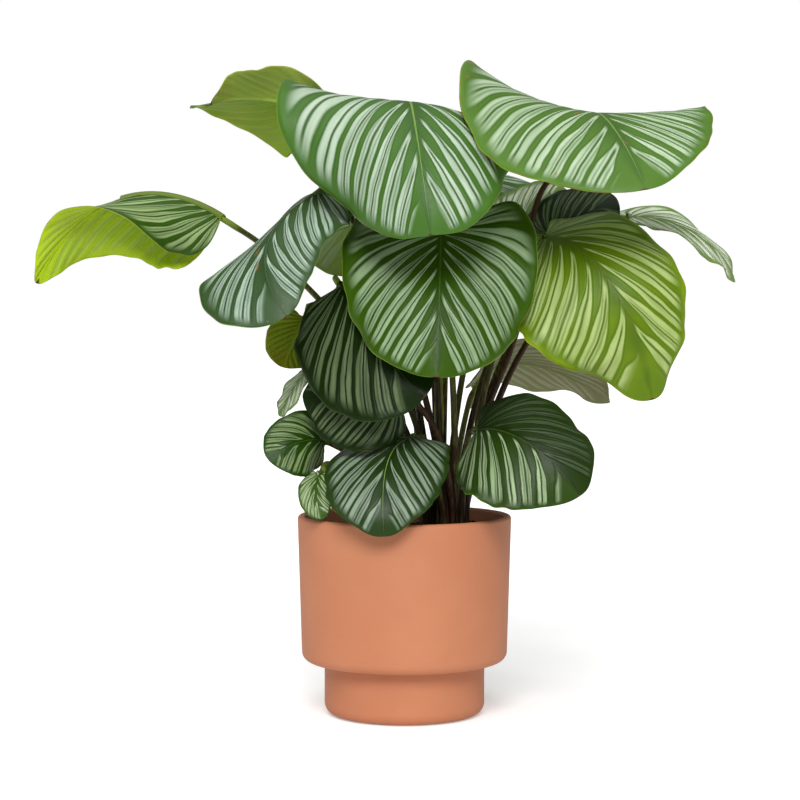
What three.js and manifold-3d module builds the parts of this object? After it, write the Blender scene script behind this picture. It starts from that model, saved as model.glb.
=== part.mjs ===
// A potted calathea with round striped leaves, in a stepped terracotta pot.
// Millimetres, +Z up. The origin is the centre of the pot's foot, on the surface it stands on.
// The plant's front looks towards -Y, with +X to the right.
import * as THREE from 'three';
import { mergeVertices } from 'three/addons/utils/BufferGeometryUtils.js';
import Module from 'manifold-3d';

const wasm = await Module();
wasm.setup();

// ---------------------------------------------------------------- driving dimensions

const POT = {
  height: 224,
  rimRadius: 120,
  bodyRadius: 115.5, // the body narrows a little towards its lower edge
  bodyBottom: 60, // the height of the step under the body
  bodyRound: 11,
  footRadius: 90,
  footRound: 13,
  rimRound: 3.8,
  wall: 8.5,
  floor: 12,
  sides: 48,
};

const SOIL = {
  level: 198, // at the pot's wall
  gap: 0.4, // to the pot's floor
  wallGap: 1, // to the pot's wall, whose flat sides come closer than its corners
  mound: 16, // the root ball stands this much higher round the stems
  moundRadius: 52,
  lump: 1.3,
  rings: 6,
  sides: 32,
};

// The stems rise from a clump, one in each place of a honeycomb.
const CLUMP = { x: 43, y: 6, pitch: 10.6, depth: 15, straight: 16, holeGap: 0.4 };

const STEM = {
  footRadius: 4,
  topRadius: 3.2,
  neckRadius: 3.6, // the thicker joint under the blade
  neckLength: 16,
  sides: 6,
  steps: 8,
  neckSteps: 3,
  gap: 0.35, // to the blade it carries
  leanOut: 0.3, // half way up, a stem has made this share of its way outwards
};

const BLADE = {
  thickness: 0.9,
  ribDepth: 4.4, // how far the midrib stands out underneath, at the stem
  ribTipDepth: 0.6,
  neck: 4.6, // half the width of the blade where it meets its stem
  fullness: 0.76, // below 1 makes the outline fuller than an ellipse
  lobe: 0.35, // how far the two base lobes reach back, as a share of the length
  apex: 0.04, // the short drawn-out tip, as a share of the length
  apexWidth: 0.3,
  sweep: 1.5, // how strongly the side veins start towards the base
  veinOut: 0.55, // the turning point of a side vein, as shares of its reach outwards
  veinUp: 0.25, // and along the midrib
  rows: 10,
  columns: [0, 0.07, 0.28, 0.54, 0.79, 1], // from the midrib to the margin
  small: 50, // a narrower half blade than this gets the coarser rows and columns
  smallRows: 7,
  smallColumns: [0, 0.12, 0.5, 1],
};

const COLOURS = {
  terracotta: 0xcd8a6c,
  soil: 0x14100e,
  stem: 0x4a4222,
  green: 0x4f7f45,
  dark: 0x2e5523,
  blue: 0x6b917c,
  lime: 0x86a83a,
  pale: 0x94a890,
  olive: 0x6c8a36,
};

// One entry for each leaf:
// slot, the stem's place in the clump;
// rib, four points that the midrib passes through, from the stem to the tip;
// side, the way from the midrib to the right margin, at the base and at the tip, where right is
// as seen from the stem with the upper face up;
// right and left, for each half of the blade, its width and then the angles by which it leaves
// the midrib at the base and at the tip, and by which it bends on from there to its margin, at the
// base and at the tip, in degrees, above 0 towards the upper face;
// wave, the height of the margin's waves and their number.
// A few entries also set lobe or apex, instead of the usual share in BLADE; taper, by which the
// blade is wider at its base and narrower at its tip; via, points that the stem passes through on
// its way up; or curls, places where one half bends further, each with its hand (1 on the right,
// -1 on the left), its place along the midrib, its spread and its angle.
const LEAVES = [
  {
    name: 'crown', colour: 'green', slot: [0, 0], apex: -0.03, taper: 0.34, lobe: 0.5,
    rib: [[7, -20, 668], [8, -92, 672], [17, -148, 610], [27, -170, 532]],
    side: [[-1, 0.1, 0.1], [-1, 0.1, 0.1]],
    right: [137, 0, -5, 0, -100], left: [125, 0, -5, -30, -55], wave: [4, 3],
    curls: [[1, -0.1, 0.3, 34], [-1, 0, 0.25, 15]],
  },
  {
    name: 'high_right', colour: 'green', slot: [1, 0], apex: 0.06, taper: 0.1, lobe: 0.38,
    rib: [[209, 20, 660], [216, -60, 666], [236, -130, 624], [251, -165, 580]],
    side: [[-1, 0.2, 0.2], [-1, -0.1, -0.1]],
    right: [160, 0, 0, 8, -8], left: [118, 5, 0, 14, -20], wave: [3, 3],
    via: [[94, 5, 345], [126, 9, 430], [153, 14, 585]],
    curls: [[1, -0.1, 0.3, 40]],
  },
  {
    name: 'far_left', colour: 'green', slot: [-1, 0], taper: 0.62, lobe: 0.12,
    rib: [[-203, -10, 559], [-272, -15, 583], [-346, -10, 564], [-412, 0, 484]],
    side: [[0, 1, 0], [0.9, 0.4, -0.5]],
    right: [74, -60, -20, -60, -30], left: [58, -50, -20, -60, 20], wave: [3, 3],
    via: [[-36, 0, 392], [-150, 36, 518]],
    curls: [[1, 0.95, 0.3, 150], [-1, 0.95, 0.3, 110]],
  },
  {
    name: 'high_left', colour: 'olive', slot: [-1, 2],
    rib: [[-99, 60, 673], [-136, 60, 690], [-184, 50, 694], [-219, 20, 684]],
    side: [[0, 0.5, -0.85], [0, 0.95, 0.3]],
    right: [78, 0, 0, -10, -10], left: [52, 0, 60, -30, -10], wave: [3, 3],
  },
  {
    name: 'silver_left', colour: 'blue', slot: [0, -1], taper: 0.1, lobe: 0.2,
    rib: [[-91, -32, 587], [-133, -82, 553], [-149, -120, 507], [-125, -150, 448]],
    side: [[0, 0.35, 0.35], [-0.93, 0, -0.5]],
    right: [103, -60, 10, -15, -10], left: [68, 5, -5, -25, -10], wave: [4, 4],
  },
  {
    name: 'centre', colour: 'green', slot: [1, -1], taper: 0.16, lobe: 0.8,
    rib: [[40, -64, 541], [38, -102, 492], [36, -132, 440], [34, -152, 384]],
    side: [[-1, 0, 0], [-1, 0, 0]],
    right: [110, -8, -10, -5, -50], left: [106, 0, -10, -5, -50], wave: [3, 3],
  },
  {
    name: 'lime_right', colour: 'lime', slot: [2, -1], apex: 0.14,
    rib: [[154, -20, 536], [198, -70, 514], [237, -100, 455], [269, -85, 357]],
    side: [[-0.86, -0.15, -0.5], [-0.9, 0, -0.4]],
    right: [112, -12, -4, -5, 10], left: [82, -5, -5, -20, -30], wave: [4, 4],
    curls: [[1, 0.88, 0.1, -80], [-1, 0.97, 0.1, -60]],
  },
  {
    name: 'far_right', colour: 'pale', slot: [2, 1],
    rib: [[258, 80, 561], [307, 90, 556], [355, 95, 530], [385, 95, 486]],
    side: [[-0.2, -0.95, -0.2], [-0.1, -1, -0.1]],
    right: [66, -5, -10, 10, 0], left: [50, 0, 5, 10, 0], wave: [4, 3],
  },
  {
    name: 'low_back_right', colour: 'pale', slot: [1, 2],
    rib: [[82, 95, 366], [134, 125, 392], [200, 155, 372], [245, 172, 342]],
    side: [[0, -0.85, 0.5], [0, -0.9, 0.4]],
    right: [48, 0, 0, 0, 0], left: [65, 0, 0, 0, 0], wave: [6, 3],
  },
  {
    name: 'dark_left', colour: 'dark', slot: [-1, -1], lobe: 0.2,
    rib: [[-71, -28, 482], [-42, -72, 440], [-14, -104, 399], [22, -120, 362]],
    side: [[-0.75, -0.1, -0.6], [-0.75, -0.1, -0.6]],
    right: [92, -5, -5, -15, -10], left: [76, -5, -5, -15, -10], wave: [3, 4],
  },
  {
    name: 'under_dark', colour: 'dark', slot: [1, -2],
    rib: [[-6, -66, 364], [-38, -80, 366], [-76, -70, 365], [-112, -52, 357]],
    side: [[0, 0.3, 1], [0, 0.3, 1]],
    right: [32, 0, 0, 0, 0], left: [66, -5, -5, -10, -10], wave: [3, 3],
    via: [[36, -36, 318]],
  },
  {
    name: 'front_low', colour: 'green', slot: [0, -2], apex: 0.07,
    rib: [[10, -38, 314], [-15, -84, 298], [-23, -126, 262], [-22, -142, 214]],
    side: [[-1, 0.1, 0], [-1, 0, 0]],
    right: [72, -5, 0, -20, -30], left: [66, -5, 0, -20, -30], wave: [2, 3],
  },
  {
    name: 'right_low', colour: 'dark', slot: [2, -2], apex: 0.06,
    rib: [[78, -44, 322], [113, -84, 321], [152, -107, 297], [188, -116, 255]],
    side: [[-0.3, -0.5, -0.8], [-0.7, -0.2, -0.7]],
    right: [84, -5, 0, 0, 0], left: [64, -5, 0, -20, -40], wave: [3, 3],
  },
  {
    name: 'small_left', colour: 'dark', slot: [-2, -1],
    rib: [[-89, -20, 308], [-109, -40, 310], [-130, -50, 303], [-150, -55, 290]],
    side: [[0.2, 0.3, 1], [0, 0.3, 1]],
    right: [34, 0, 0, -10, -10], left: [40, -5, 0, -15, -10], wave: [1.5, 3],
  },
  {
    name: 'rim_left', colour: 'dark', slot: [-2, -2],
    rib: [[-93, -56, 276], [-97, -70, 260], [-94, -80, 243], [-86, -84, 229]],
    side: [[-0.9, 0, -0.4], [-1, 0, 0]],
    right: [20, -10, 0, 0, 0], left: [18, -10, 0, 0, 0], wave: [1, 3],
  },
  {
    name: 'narrow_left', colour: 'pale', slot: [-2, 0], lobe: 0.1,
    rib: [[-108, 2, 386], [-119, -2, 374], [-130, -5, 356], [-141, -5, 336]],
    side: [[-0.4, 0.9, 0], [-0.4, 0.9, 0]],
    right: [30, 0, 0, 0, 0], left: [30, 0, 0, 0, 0], wave: [1.5, 3],
  },
  {
    name: 'yellow_left', colour: 'olive', slot: [-2, 1],
    rib: [[-112, 20, 445], [-120, 15, 426], [-129, 10, 407], [-135, 5, 389]],
    side: [[0.9, 0.2, -0.3], [0.9, 0.2, -0.3]],
    right: [34, 0, 0, 0, 0], left: [34, 0, 0, 0, 0], wave: [1.5, 3],
  },
  {
    name: 'pale_back', colour: 'pale', slot: [0, 1],
    rib: [[114, 55, 543], [140, 75, 564], [164, 90, 580], [188, 100, 594]],
    side: [[0.55, -0.5, -0.47], [0.55, -0.5, -0.47]],
    right: [42, 0, 0, 0, 0], left: [42, 0, 0, 0, 0], wave: [2, 3],
  },
  {
    name: 'shaded_right', colour: 'dark', slot: [1, 1],
    rib: [[163, 30, 536], [189, 42, 554], [218, 50, 568], [245, 54, 576]],
    side: [[0.47, -0.5, -0.62], [0.47, -0.5, -0.62]],
    right: [45, 0, 0, 0, 0], left: [45, 0, 0, 0, 0], wave: [2, 3],
  },
  {
    name: 'back_left', colour: 'green', slot: [-2, 2],
    rib: [[-35, 120, 560], [-52, 185, 572], [-66, 240, 550], [-78, 275, 495]],
    side: [[1, 0.2, 0], [1, 0.2, 0]],
    right: [85, -5, -5, -25, -20], left: [80, -5, -5, -20, -20], wave: [4, 3],
  },
  {
    name: 'back', colour: 'green', slot: [0, 2],
    rib: [[60, 140, 612], [72, 205, 622], [84, 262, 584], [94, 300, 500]],
    side: [[1, 0, 0], [1, 0, 0]],
    right: [100, -5, -5, -20, -20], left: [100, -5, -5, -20, -20], wave: [4, 4],
  },
  {
    name: 'back_right', colour: 'green', slot: [2, 2],
    rib: [[205, 120, 549], [228, 170, 549], [248, 210, 522], [266, 240, 456]],
    side: [[1, -0.3, 0], [1, -0.3, 0]],
    right: [75, -5, -5, -20, -20], left: [75, -5, -5, -20, -20], wave: [3, 3],
  },
  {
    name: 'low_back', colour: 'dark', slot: [-1, 3],
    rib: [[30, 100, 457], [27, 150, 463], [24, 200, 433], [20, 235, 378]],
    side: [[1, 0, 0], [1, 0, 0]],
    right: [80, -5, -5, -20, -20], left: [80, -5, -5, -20, -20], wave: [3, 3],
  },
];

// The youngest leaf is still rolled into a spike. Its profile gives the radius at each height.
const NEW_LEAF = {
  slot: [-1, 1],
  top: [40, 18, 402],
  profile: [[0, 4], [0.3, 3.6], [0.5, 4.8], [0.7, 5.4], [0.88, 3.4], [1, 0.8]],
};

// ---------------------------------------------------------------- solids

const toRadians = THREE.MathUtils.degToRad;
const lerp = THREE.MathUtils.lerp;

// A closed geometry as a solid that can be cut.
function solidOf(geometry) {
  const bare = geometry.clone();
  bare.deleteAttribute('normal');
  bare.deleteAttribute('uv');
  const merged = mergeVertices(bare, 1e-4);
  const mesh = new wasm.Mesh({
    numProp: 3,
    vertProperties: merged.attributes.position.array,
    triVerts: new Uint32Array(merged.index.array),
  });
  return new wasm.Manifold(mesh);
}

function geometryOf(solid) {
  const mesh = solid.getMesh();
  return geometryFrom(mesh.vertProperties, mesh.triVerts);
}

function geometryFrom(coordinates, indices) {
  const geometry = new THREE.BufferGeometry();
  geometry.setAttribute('position', new THREE.BufferAttribute(Float32Array.from(coordinates), 3));
  geometry.setIndex(Array.from(indices));
  return geometry;
}

function meshOf(name, geometry, colour, roughness) {
  const material = new THREE.MeshStandardMaterial({ color: colour, roughness, metalness: 0 });
  geometry.computeVertexNormals();
  const mesh = new THREE.Mesh(geometry, material);
  mesh.name = name;
  return mesh;
}

// Points on a quarter circle in a lathe profile, from one angle to another, in degrees.
function arc(x, y, radius, from, to, steps) {
  const points = [];
  for (let i = 0; i <= steps; i += 1) {
    const angle = toRadians(lerp(from, to, i / steps));
    points.push(new THREE.Vector2(x + radius * Math.cos(angle), y + radius * Math.sin(angle)));
  }
  return points;
}

// A three.js lathe turns about Y: this one turns about Z.
function latheAboutZ(profile, sides) {
  return new THREE.LatheGeometry(profile, sides).rotateX(Math.PI / 2);
}

// ---------------------------------------------------------------- pot

const bodyInside = POT.bodyRadius - POT.wall;
const footInside = POT.footRadius - POT.wall;
const shelfInside = POT.bodyBottom + POT.wall; // the step as it is inside the pot

function makePot() {
  const p = POT;
  const profile = [
    new THREE.Vector2(0, 0),
    ...arc(p.footRadius - p.footRound, p.footRound, p.footRound, -90, 0, 4),
    new THREE.Vector2(p.footRadius, p.bodyBottom),
    ...arc(p.bodyRadius - p.bodyRound, p.bodyBottom + p.bodyRound, p.bodyRound, -90, 0, 4),
    ...arc(p.rimRadius - p.rimRound, p.height - p.rimRound, p.rimRound, 0, 90, 2),
    ...arc(p.rimRadius - p.wall + p.rimRound, p.height - p.rimRound, p.rimRound, 90, 180, 2),
    new THREE.Vector2(bodyInside, shelfInside),
    new THREE.Vector2(footInside, shelfInside),
    new THREE.Vector2(footInside, p.floor),
    new THREE.Vector2(0, p.floor),
  ];
  return latheAboutZ(profile, p.sides);
}

// ---------------------------------------------------------------- soil and its stem holes

function slotPlace([column, row]) {
  const shift = row % 2 === 0 ? 0 : 0.5;
  const x = CLUMP.x + (column + shift) * CLUMP.pitch;
  const y = CLUMP.y + row * CLUMP.pitch * Math.sin(Math.PI / 3);
  return new THREE.Vector2(x, y);
}

// The height of the soil's surface: flat at the wall, with the mound of the root ball.
function soilHeight(x, y) {
  const away = Math.hypot(x - CLUMP.x, y - CLUMP.y) / SOIL.moundRadius;
  const mound = SOIL.mound * Math.exp(-(away ** 4));
  const lumps = SOIL.lump * Math.sin(x / 7.3) * Math.cos(y / 6.1 + x / 19);
  return SOIL.level + mound + lumps;
}

// The soil's own radius at its level.
function soilRadius() {
  const rise = (SOIL.level - shelfInside) / (POT.height - POT.rimRound - shelfInside);
  return lerp(bodyInside, POT.rimRadius - POT.wall, rise) - SOIL.wallGap;
}

function makeSoil() {
  const outside = soilRadius();
  const coordinates = [0, 0, soilHeight(0, 0)];
  const indices = [];
  const n = SOIL.sides;
  const below = [
    [bodyInside - SOIL.wallGap, shelfInside + SOIL.gap],
    [footInside - SOIL.gap, shelfInside + SOIL.gap],
    [footInside - SOIL.gap, POT.floor + SOIL.gap],
  ];
  const rings = [];
  for (let ring = 1; ring <= SOIL.rings; ring += 1) {
    rings.push({ radius: (outside * ring) / SOIL.rings, height: null });
  }
  for (const [radius, height] of below) {
    rings.push({ radius, height });
  }
  for (const { radius, height } of rings) {
    for (let i = 0; i < n; i += 1) {
      const angle = (2 * Math.PI * i) / n;
      const x = radius * Math.cos(angle);
      const y = radius * Math.sin(angle);
      coordinates.push(x, y, height ?? soilHeight(x, y));
    }
  }
  const bottom = coordinates.length / 3;
  coordinates.push(0, 0, POT.floor + SOIL.gap);
  for (let i = 0; i < n; i += 1) {
    const next = (i + 1) % n;
    indices.push(0, 1 + i, 1 + next);
    for (let ring = 0; ring < rings.length - 1; ring += 1) {
      const inner = 1 + ring * n;
      const outer = inner + n;
      indices.push(inner + i, outer + i, outer + next, inner + i, outer + next, inner + next);
    }
    const last = 1 + (rings.length - 1) * n;
    indices.push(bottom, last + next, last + i);
  }
  let soil = solidOf(geometryFrom(coordinates, indices));
  for (const { slot } of [...LEAVES, NEW_LEAF]) {
    soil = soil.subtract(holeFor(slot));
  }
  return geometryOf(soil);
}

// A plain upright hole for a stem, a little wider and deeper than the stem's foot.
function holeFor(slot) {
  const { x, y } = slotPlace(slot);
  const radius = STEM.footRadius + CLUMP.holeGap;
  const length = 2 * CLUMP.depth;
  const hole = new THREE.CylinderGeometry(radius, radius, length, STEM.sides);
  hole.rotateX(Math.PI / 2).rotateZ(Math.PI / 2);
  hole.translate(x, y, soilHeight(x, y) - CLUMP.depth - CLUMP.holeGap + length / 2);
  return solidOf(hole);
}

// ---------------------------------------------------------------- leaves

// The midrib is one cubic curve that passes through the leaf's four points.
function ribCurve(leaf) {
  const [a, b, c, d] = leaf.rib.map((point) => new THREE.Vector3(...point));
  const first = a.clone().multiplyScalar(-5).addScaledVector(b, 18).addScaledVector(c, -9);
  const second = a.clone().multiplyScalar(2).addScaledVector(b, -9).addScaledVector(c, 18);
  first.addScaledVector(d, 2).divideScalar(6);
  second.addScaledVector(d, -5).divideScalar(6);
  return new THREE.CubicBezierCurve3(a, first, second, d);
}

// The midrib's place and its three directions at a share of its length: along it, out of the
// right margin and out of the upper face.
function ribFrame(leaf, curve, share) {
  const t = THREE.MathUtils.clamp(share, 0, 1);
  const along = curve.getTangentAt(t);
  const place = curve.getPointAt(t);
  const base = new THREE.Vector3(...leaf.side[0]);
  const tip = new THREE.Vector3(...leaf.side[1]);
  const side = base.lerp(tip, t);
  side.addScaledVector(along, -side.dot(along)).normalize();
  const up = side.clone().cross(along);
  place.addScaledVector(along, (share - t) * curve.getLength());
  return { place, along, side, up };
}

// A point of the flat margin: a runs from 0 at the stem to 1 at the tip.
function marginPoint(leaf, width, length, a) {
  const phi = Math.PI * a ** 0.9;
  const apex = leaf.apex ?? BLADE.apex;
  const lobe = leaf.lobe ?? BLADE.lobe;
  const drawn = apex * Math.exp(-(((Math.PI - phi) / BLADE.apexWidth) ** 2));
  const taper = 1 + (leaf.taper ?? 0) * Math.cos(phi);
  const x = BLADE.neck * (1 - a) ** 4 + width * Math.sin(phi) ** BLADE.fullness * taper;
  const round = ((1 - apex) * (1 - Math.cos(phi))) / 2;
  const back = lobe * Math.sin(phi) * Math.cos(phi / 2) ** 6;
  return [a < 1 ? x : 0, length * (round + drawn - back)];
}

// A flat point of one half: a picks the side vein and r runs along it from the midrib to the margin.
function veinPoint(leaf, width, length, a, r) {
  const start = length * a ** BLADE.sweep;
  const [endX, endY] = marginPoint(leaf, width, length, a);
  const middleX = BLADE.veinOut * endX;
  const middleY = start + BLADE.veinUp * (endY - start);
  const x = 2 * r * (1 - r) * middleX + r * r * endX;
  const y = (1 - r) ** 2 * start + 2 * r * (1 - r) * middleY + r * r * endY;
  return [x, y];
}

// How much further one half bends at a share of the midrib, where it has curls.
function curlAt(leaf, hand, share) {
  let angle = 0;
  for (const [side, place, spread, most] of leaf.curls ?? []) {
    if (side === hand) {
      angle += most * Math.exp(-(((share - place) / spread) ** 2));
    }
  }
  return angle;
}

// The same point where the half is bent to its place. hand is 1 on the right and -1 on the left.
function bladePoint(leaf, curve, hand, a, r) {
  const [width, foldBase, foldTip, bendBase, bendTip] = hand > 0 ? leaf.right : leaf.left;
  const length = curve.getLength();
  const [x, y] = veinPoint(leaf, width, length, a, r);
  const share = y / length;
  const t = THREE.MathUtils.clamp(share, 0, 1);
  const fold = toRadians(lerp(foldBase, foldTip, t));
  const bend = toRadians(lerp(bendBase, bendTip, t) + curlAt(leaf, hand, share)) || 1e-4;
  const end = fold + (bend * x) / width;
  const out = ((Math.sin(end) - Math.sin(fold)) * width) / bend;
  const rise = ((Math.cos(fold) - Math.cos(end)) * width) / bend;
  const [height, count] = leaf.wave;
  const wave = height * r ** 3 * Math.sin(2 * Math.PI * count * a) * Math.sin(Math.PI * a) ** 0.5;
  const { place, side, up } = ribFrame(leaf, curve, share);
  place.addScaledVector(side, hand * (out - wave * Math.sin(end)));
  return place.addScaledVector(up, rise + wave * Math.cos(end));
}

// The blade: an upper face and a lower face of the same triangles, with the midrib's ridge below.
function makeBlade(leaf) {
  const curve = ribCurve(leaf);
  const isSmall = leaf.left[0] < BLADE.small && leaf.right[0] < BLADE.small;
  const rows = isSmall ? BLADE.smallRows : BLADE.rows;
  const columns = isSmall ? BLADE.smallColumns : BLADE.columns;
  const across = [];
  for (const r of [...columns].reverse()) {
    across.push([-1, r]);
  }
  for (const r of columns.slice(1)) {
    across.push([1, r]);
  }
  const count = across.length;
  const middle = (count - 1) / 2;
  // The neck has three points, and every later row has one for each column.
  const neck = [[-1, 1], [1, 0], [1, 1]];
  const upper = neck.map(([hand, r]) => bladePoint(leaf, curve, hand, 0, r));
  for (let row = 1; row < rows; row += 1) {
    for (const [hand, r] of across) {
      upper.push(bladePoint(leaf, curve, hand, row / rows, r));
    }
  }
  upper.push(bladePoint(leaf, curve, 1, 1, 0));
  const tip = upper.length - 1;
  const start = (row) => neck.length + (row - 1) * count;
  const [left, centre, right] = neck.keys();
  const faces = [left, centre, start(1) + middle - 1, centre, right, start(1) + middle + 1];
  for (let i = 0; i < count - 1; i += 1) {
    const near = start(1) + i;
    const hub = i < middle - 1 ? left : i > middle ? right : centre;
    faces.push(hub, near + 1, near);
  }
  for (let row = 1; row < rows - 1; row += 1) {
    for (let i = 0; i < count - 1; i += 1) {
      const near = start(row) + i;
      const far = near + count;
      if (i < middle) {
        faces.push(near, near + 1, far + 1, near, far + 1, far);
      } else {
        faces.push(near, near + 1, far, near + 1, far + 1, far);
      }
    }
  }
  for (let i = 0; i < count - 1; i += 1) {
    const near = start(rows - 1) + i;
    faces.push(near, near + 1, tip);
  }
  const face = geometryFrom(upper.flatMap((p) => [p.x, p.y, p.z]), faces);
  face.computeVertexNormals();
  const normals = face.attributes.normal;
  const lower = upper.map((point, i) => {
    const normal = new THREE.Vector3().fromBufferAttribute(normals, i);
    const row = i < neck.length ? 0 : Math.floor((i - neck.length) / count) + 1;
    const onRib = i === centre || (i !== tip && i === start(row) + middle);
    const ridge = onRib ? lerp(BLADE.ribDepth, BLADE.ribTipDepth, row / rows) : 0;
    return point.clone().addScaledVector(normal, -BLADE.thickness - ridge);
  });
  const all = upper.length;
  const indices = [...faces];
  for (let i = 0; i < faces.length; i += 3) {
    indices.push(faces[i] + all, faces[i + 2] + all, faces[i + 1] + all);
  }
  // The edge runs round the blade: along the neck, up the right margin and down the left one.
  const edge = [left, centre, right];
  for (let row = 1; row < rows; row += 1) {
    edge.push(start(row) + count - 1);
  }
  edge.push(tip);
  for (let row = rows - 1; row > 0; row -= 1) {
    edge.push(start(row));
  }
  edge.forEach((from, i) => {
    const to = edge[(i + 1) % edge.length];
    indices.push(to, from, from + all, to, from + all, to + all);
  });
  return geometryFrom([...upper, ...lower].flatMap((p) => [p.x, p.y, p.z]), indices);
}

// ---------------------------------------------------------------- stems

// A stem rises from its slot, leans out to its leaf and turns into the midrib at the neck.
function stemPath(leaf) {
  const { place, along, up } = ribFrame(leaf, ribCurve(leaf), 0);
  const slot = slotPlace(leaf.slot);
  const ground = new THREE.Vector3(slot.x, slot.y, soilHeight(slot.x, slot.y));
  const top = place.clone().addScaledVector(up, -(BLADE.thickness + BLADE.ribDepth) / 2);
  const end = top.clone().addScaledVector(along, -STEM.gap);
  const neck = top.clone().addScaledVector(along, -STEM.neckLength);
  const last = top.clone().addScaledVector(along, -STEM.neckLength / 3);
  const via = (leaf.via ?? []).map((point) => new THREE.Vector3(...point));
  if (via.length === 0) {
    const reach = neck.clone().sub(ground);
    const half = new THREE.Vector3(STEM.leanOut, STEM.leanOut, 0.5).multiply(reach);
    via.push(half.add(ground));
  }
  const foot = ground.clone().setZ(ground.z - CLUMP.depth);
  const clear = ground.clone().setZ(ground.z + CLUMP.straight);
  return new THREE.CatmullRomCurve3([foot, ground, clear, ...via, neck, last, end]);
}

function makeStem(leaf) {
  const path = stemPath(leaf);
  const length = path.getLength();
  const clearShare = (CLUMP.depth + CLUMP.straight) / length;
  const neckShare = 1 - (1.6 * STEM.neckLength) / length;
  const stations = [[0, STEM.footRadius], [CLUMP.depth / length, STEM.footRadius]];
  for (let i = 0; i < STEM.steps; i += 1) {
    const slim = lerp(STEM.footRadius, STEM.topRadius, i / STEM.steps);
    stations.push([lerp(clearShare, neckShare, i / STEM.steps), slim]);
  }
  for (let i = 0; i <= STEM.neckSteps; i += 1) {
    stations.push([lerp(neckShare, 1, i / STEM.neckSteps), STEM.neckRadius]);
  }
  return makeTube(path, stations);
}

function makeNewLeaf() {
  const slot = slotPlace(NEW_LEAF.slot);
  const ground = new THREE.Vector3(slot.x, slot.y, soilHeight(slot.x, slot.y));
  const foot = ground.clone().setZ(ground.z - CLUMP.depth);
  const clear = ground.clone().setZ(ground.z + CLUMP.straight);
  const path = new THREE.CatmullRomCurve3([foot, ground, clear, new THREE.Vector3(...NEW_LEAF.top)]);
  return makeTube(path, NEW_LEAF.profile);
}

// A closed round stalk along a path: each station gives a share of its length and the radius there.
function makeTube(path, stations) {
  const { sides } = STEM;
  const coordinates = [];
  const indices = [];
  const across = new THREE.Vector3(1, 0, 0);
  for (const [share, radius] of stations) {
    const along = path.getTangentAt(share);
    const place = path.getPointAt(share);
    across.addScaledVector(along, -across.dot(along)).normalize();
    const other = along.clone().cross(across);
    for (let i = 0; i < sides; i += 1) {
      const angle = (2 * Math.PI * i) / sides;
      const point = place.clone().addScaledVector(across, radius * Math.cos(angle));
      point.addScaledVector(other, radius * Math.sin(angle));
      coordinates.push(point.x, point.y, point.z);
    }
  }
  for (let step = 0; step < stations.length - 1; step += 1) {
    for (let i = 0; i < sides; i += 1) {
      const next = (i + 1) % sides;
      const low = step * sides;
      const high = low + sides;
      indices.push(low + i, low + next, high + next, low + i, high + next, high + i);
    }
  }
  const last = (stations.length - 1) * sides;
  for (let i = 1; i < sides - 1; i += 1) {
    indices.push(0, i + 1, i);
    indices.push(last, last + i, last + i + 1);
  }
  return geometryFrom(coordinates, indices);
}

// ---------------------------------------------------------------- the plant

const plant = new THREE.Group();
plant.add(meshOf('pot', makePot(), COLOURS.terracotta, 0.75));
plant.add(meshOf('soil', makeSoil(), COLOURS.soil, 1));
for (const leaf of LEAVES) {
  plant.add(meshOf(`stem_${leaf.name}`, makeStem(leaf), COLOURS.stem, 0.5));
  plant.add(meshOf(`leaf_${leaf.name}`, makeBlade(leaf), COLOURS[leaf.colour], 0.4));
}
plant.add(meshOf('new_leaf', makeNewLeaf(), COLOURS.lime, 0.5));

export default plant;
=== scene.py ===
"""A potted calathea: striped round leaves on slender stalks, in a stepped terracotta-coloured pot.

Metres, +Z up. The origin is the centre of the pot's foot, and the plant's front looks towards -Y.
Tables of the plant's own sizes are in millimetres, as a grower would measure them.
"""

import logging
import math
from contextlib import contextmanager
from dataclasses import dataclass, field, replace
from enum import Enum
from functools import reduce
from typing import Callable, Iterator, Optional

import bpy
import numpy as np
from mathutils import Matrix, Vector, noise


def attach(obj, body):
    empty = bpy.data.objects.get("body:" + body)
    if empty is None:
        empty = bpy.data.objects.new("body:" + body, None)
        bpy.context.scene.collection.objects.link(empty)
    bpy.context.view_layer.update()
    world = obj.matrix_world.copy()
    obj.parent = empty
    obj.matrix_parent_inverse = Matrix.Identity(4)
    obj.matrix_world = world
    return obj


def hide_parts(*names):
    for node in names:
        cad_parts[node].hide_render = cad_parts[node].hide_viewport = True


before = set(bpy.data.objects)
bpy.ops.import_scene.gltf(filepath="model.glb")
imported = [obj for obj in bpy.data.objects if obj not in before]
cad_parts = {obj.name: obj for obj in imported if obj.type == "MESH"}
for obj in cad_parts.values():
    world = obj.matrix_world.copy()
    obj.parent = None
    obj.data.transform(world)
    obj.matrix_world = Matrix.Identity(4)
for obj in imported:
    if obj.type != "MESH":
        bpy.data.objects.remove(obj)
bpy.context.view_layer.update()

log = logging.getLogger("potted_calathea")

Colour = tuple[float, float, float, float]
Point = tuple[float, float, float]
Socket = bpy.types.NodeSocket

MM = 0.001


def paint(red: int, green: int, blue: int) -> Colour:
    """The linear colour for a colour as seen on a screen, whose parts run from 0 to 255."""
    parts = [((value / 255 + 0.055) / 1.055) ** 2.4 for value in (red, green, blue)]
    return (parts[0], parts[1], parts[2], 1.0)


# ---------------------------------------------------------------- forms that all blades share


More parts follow.
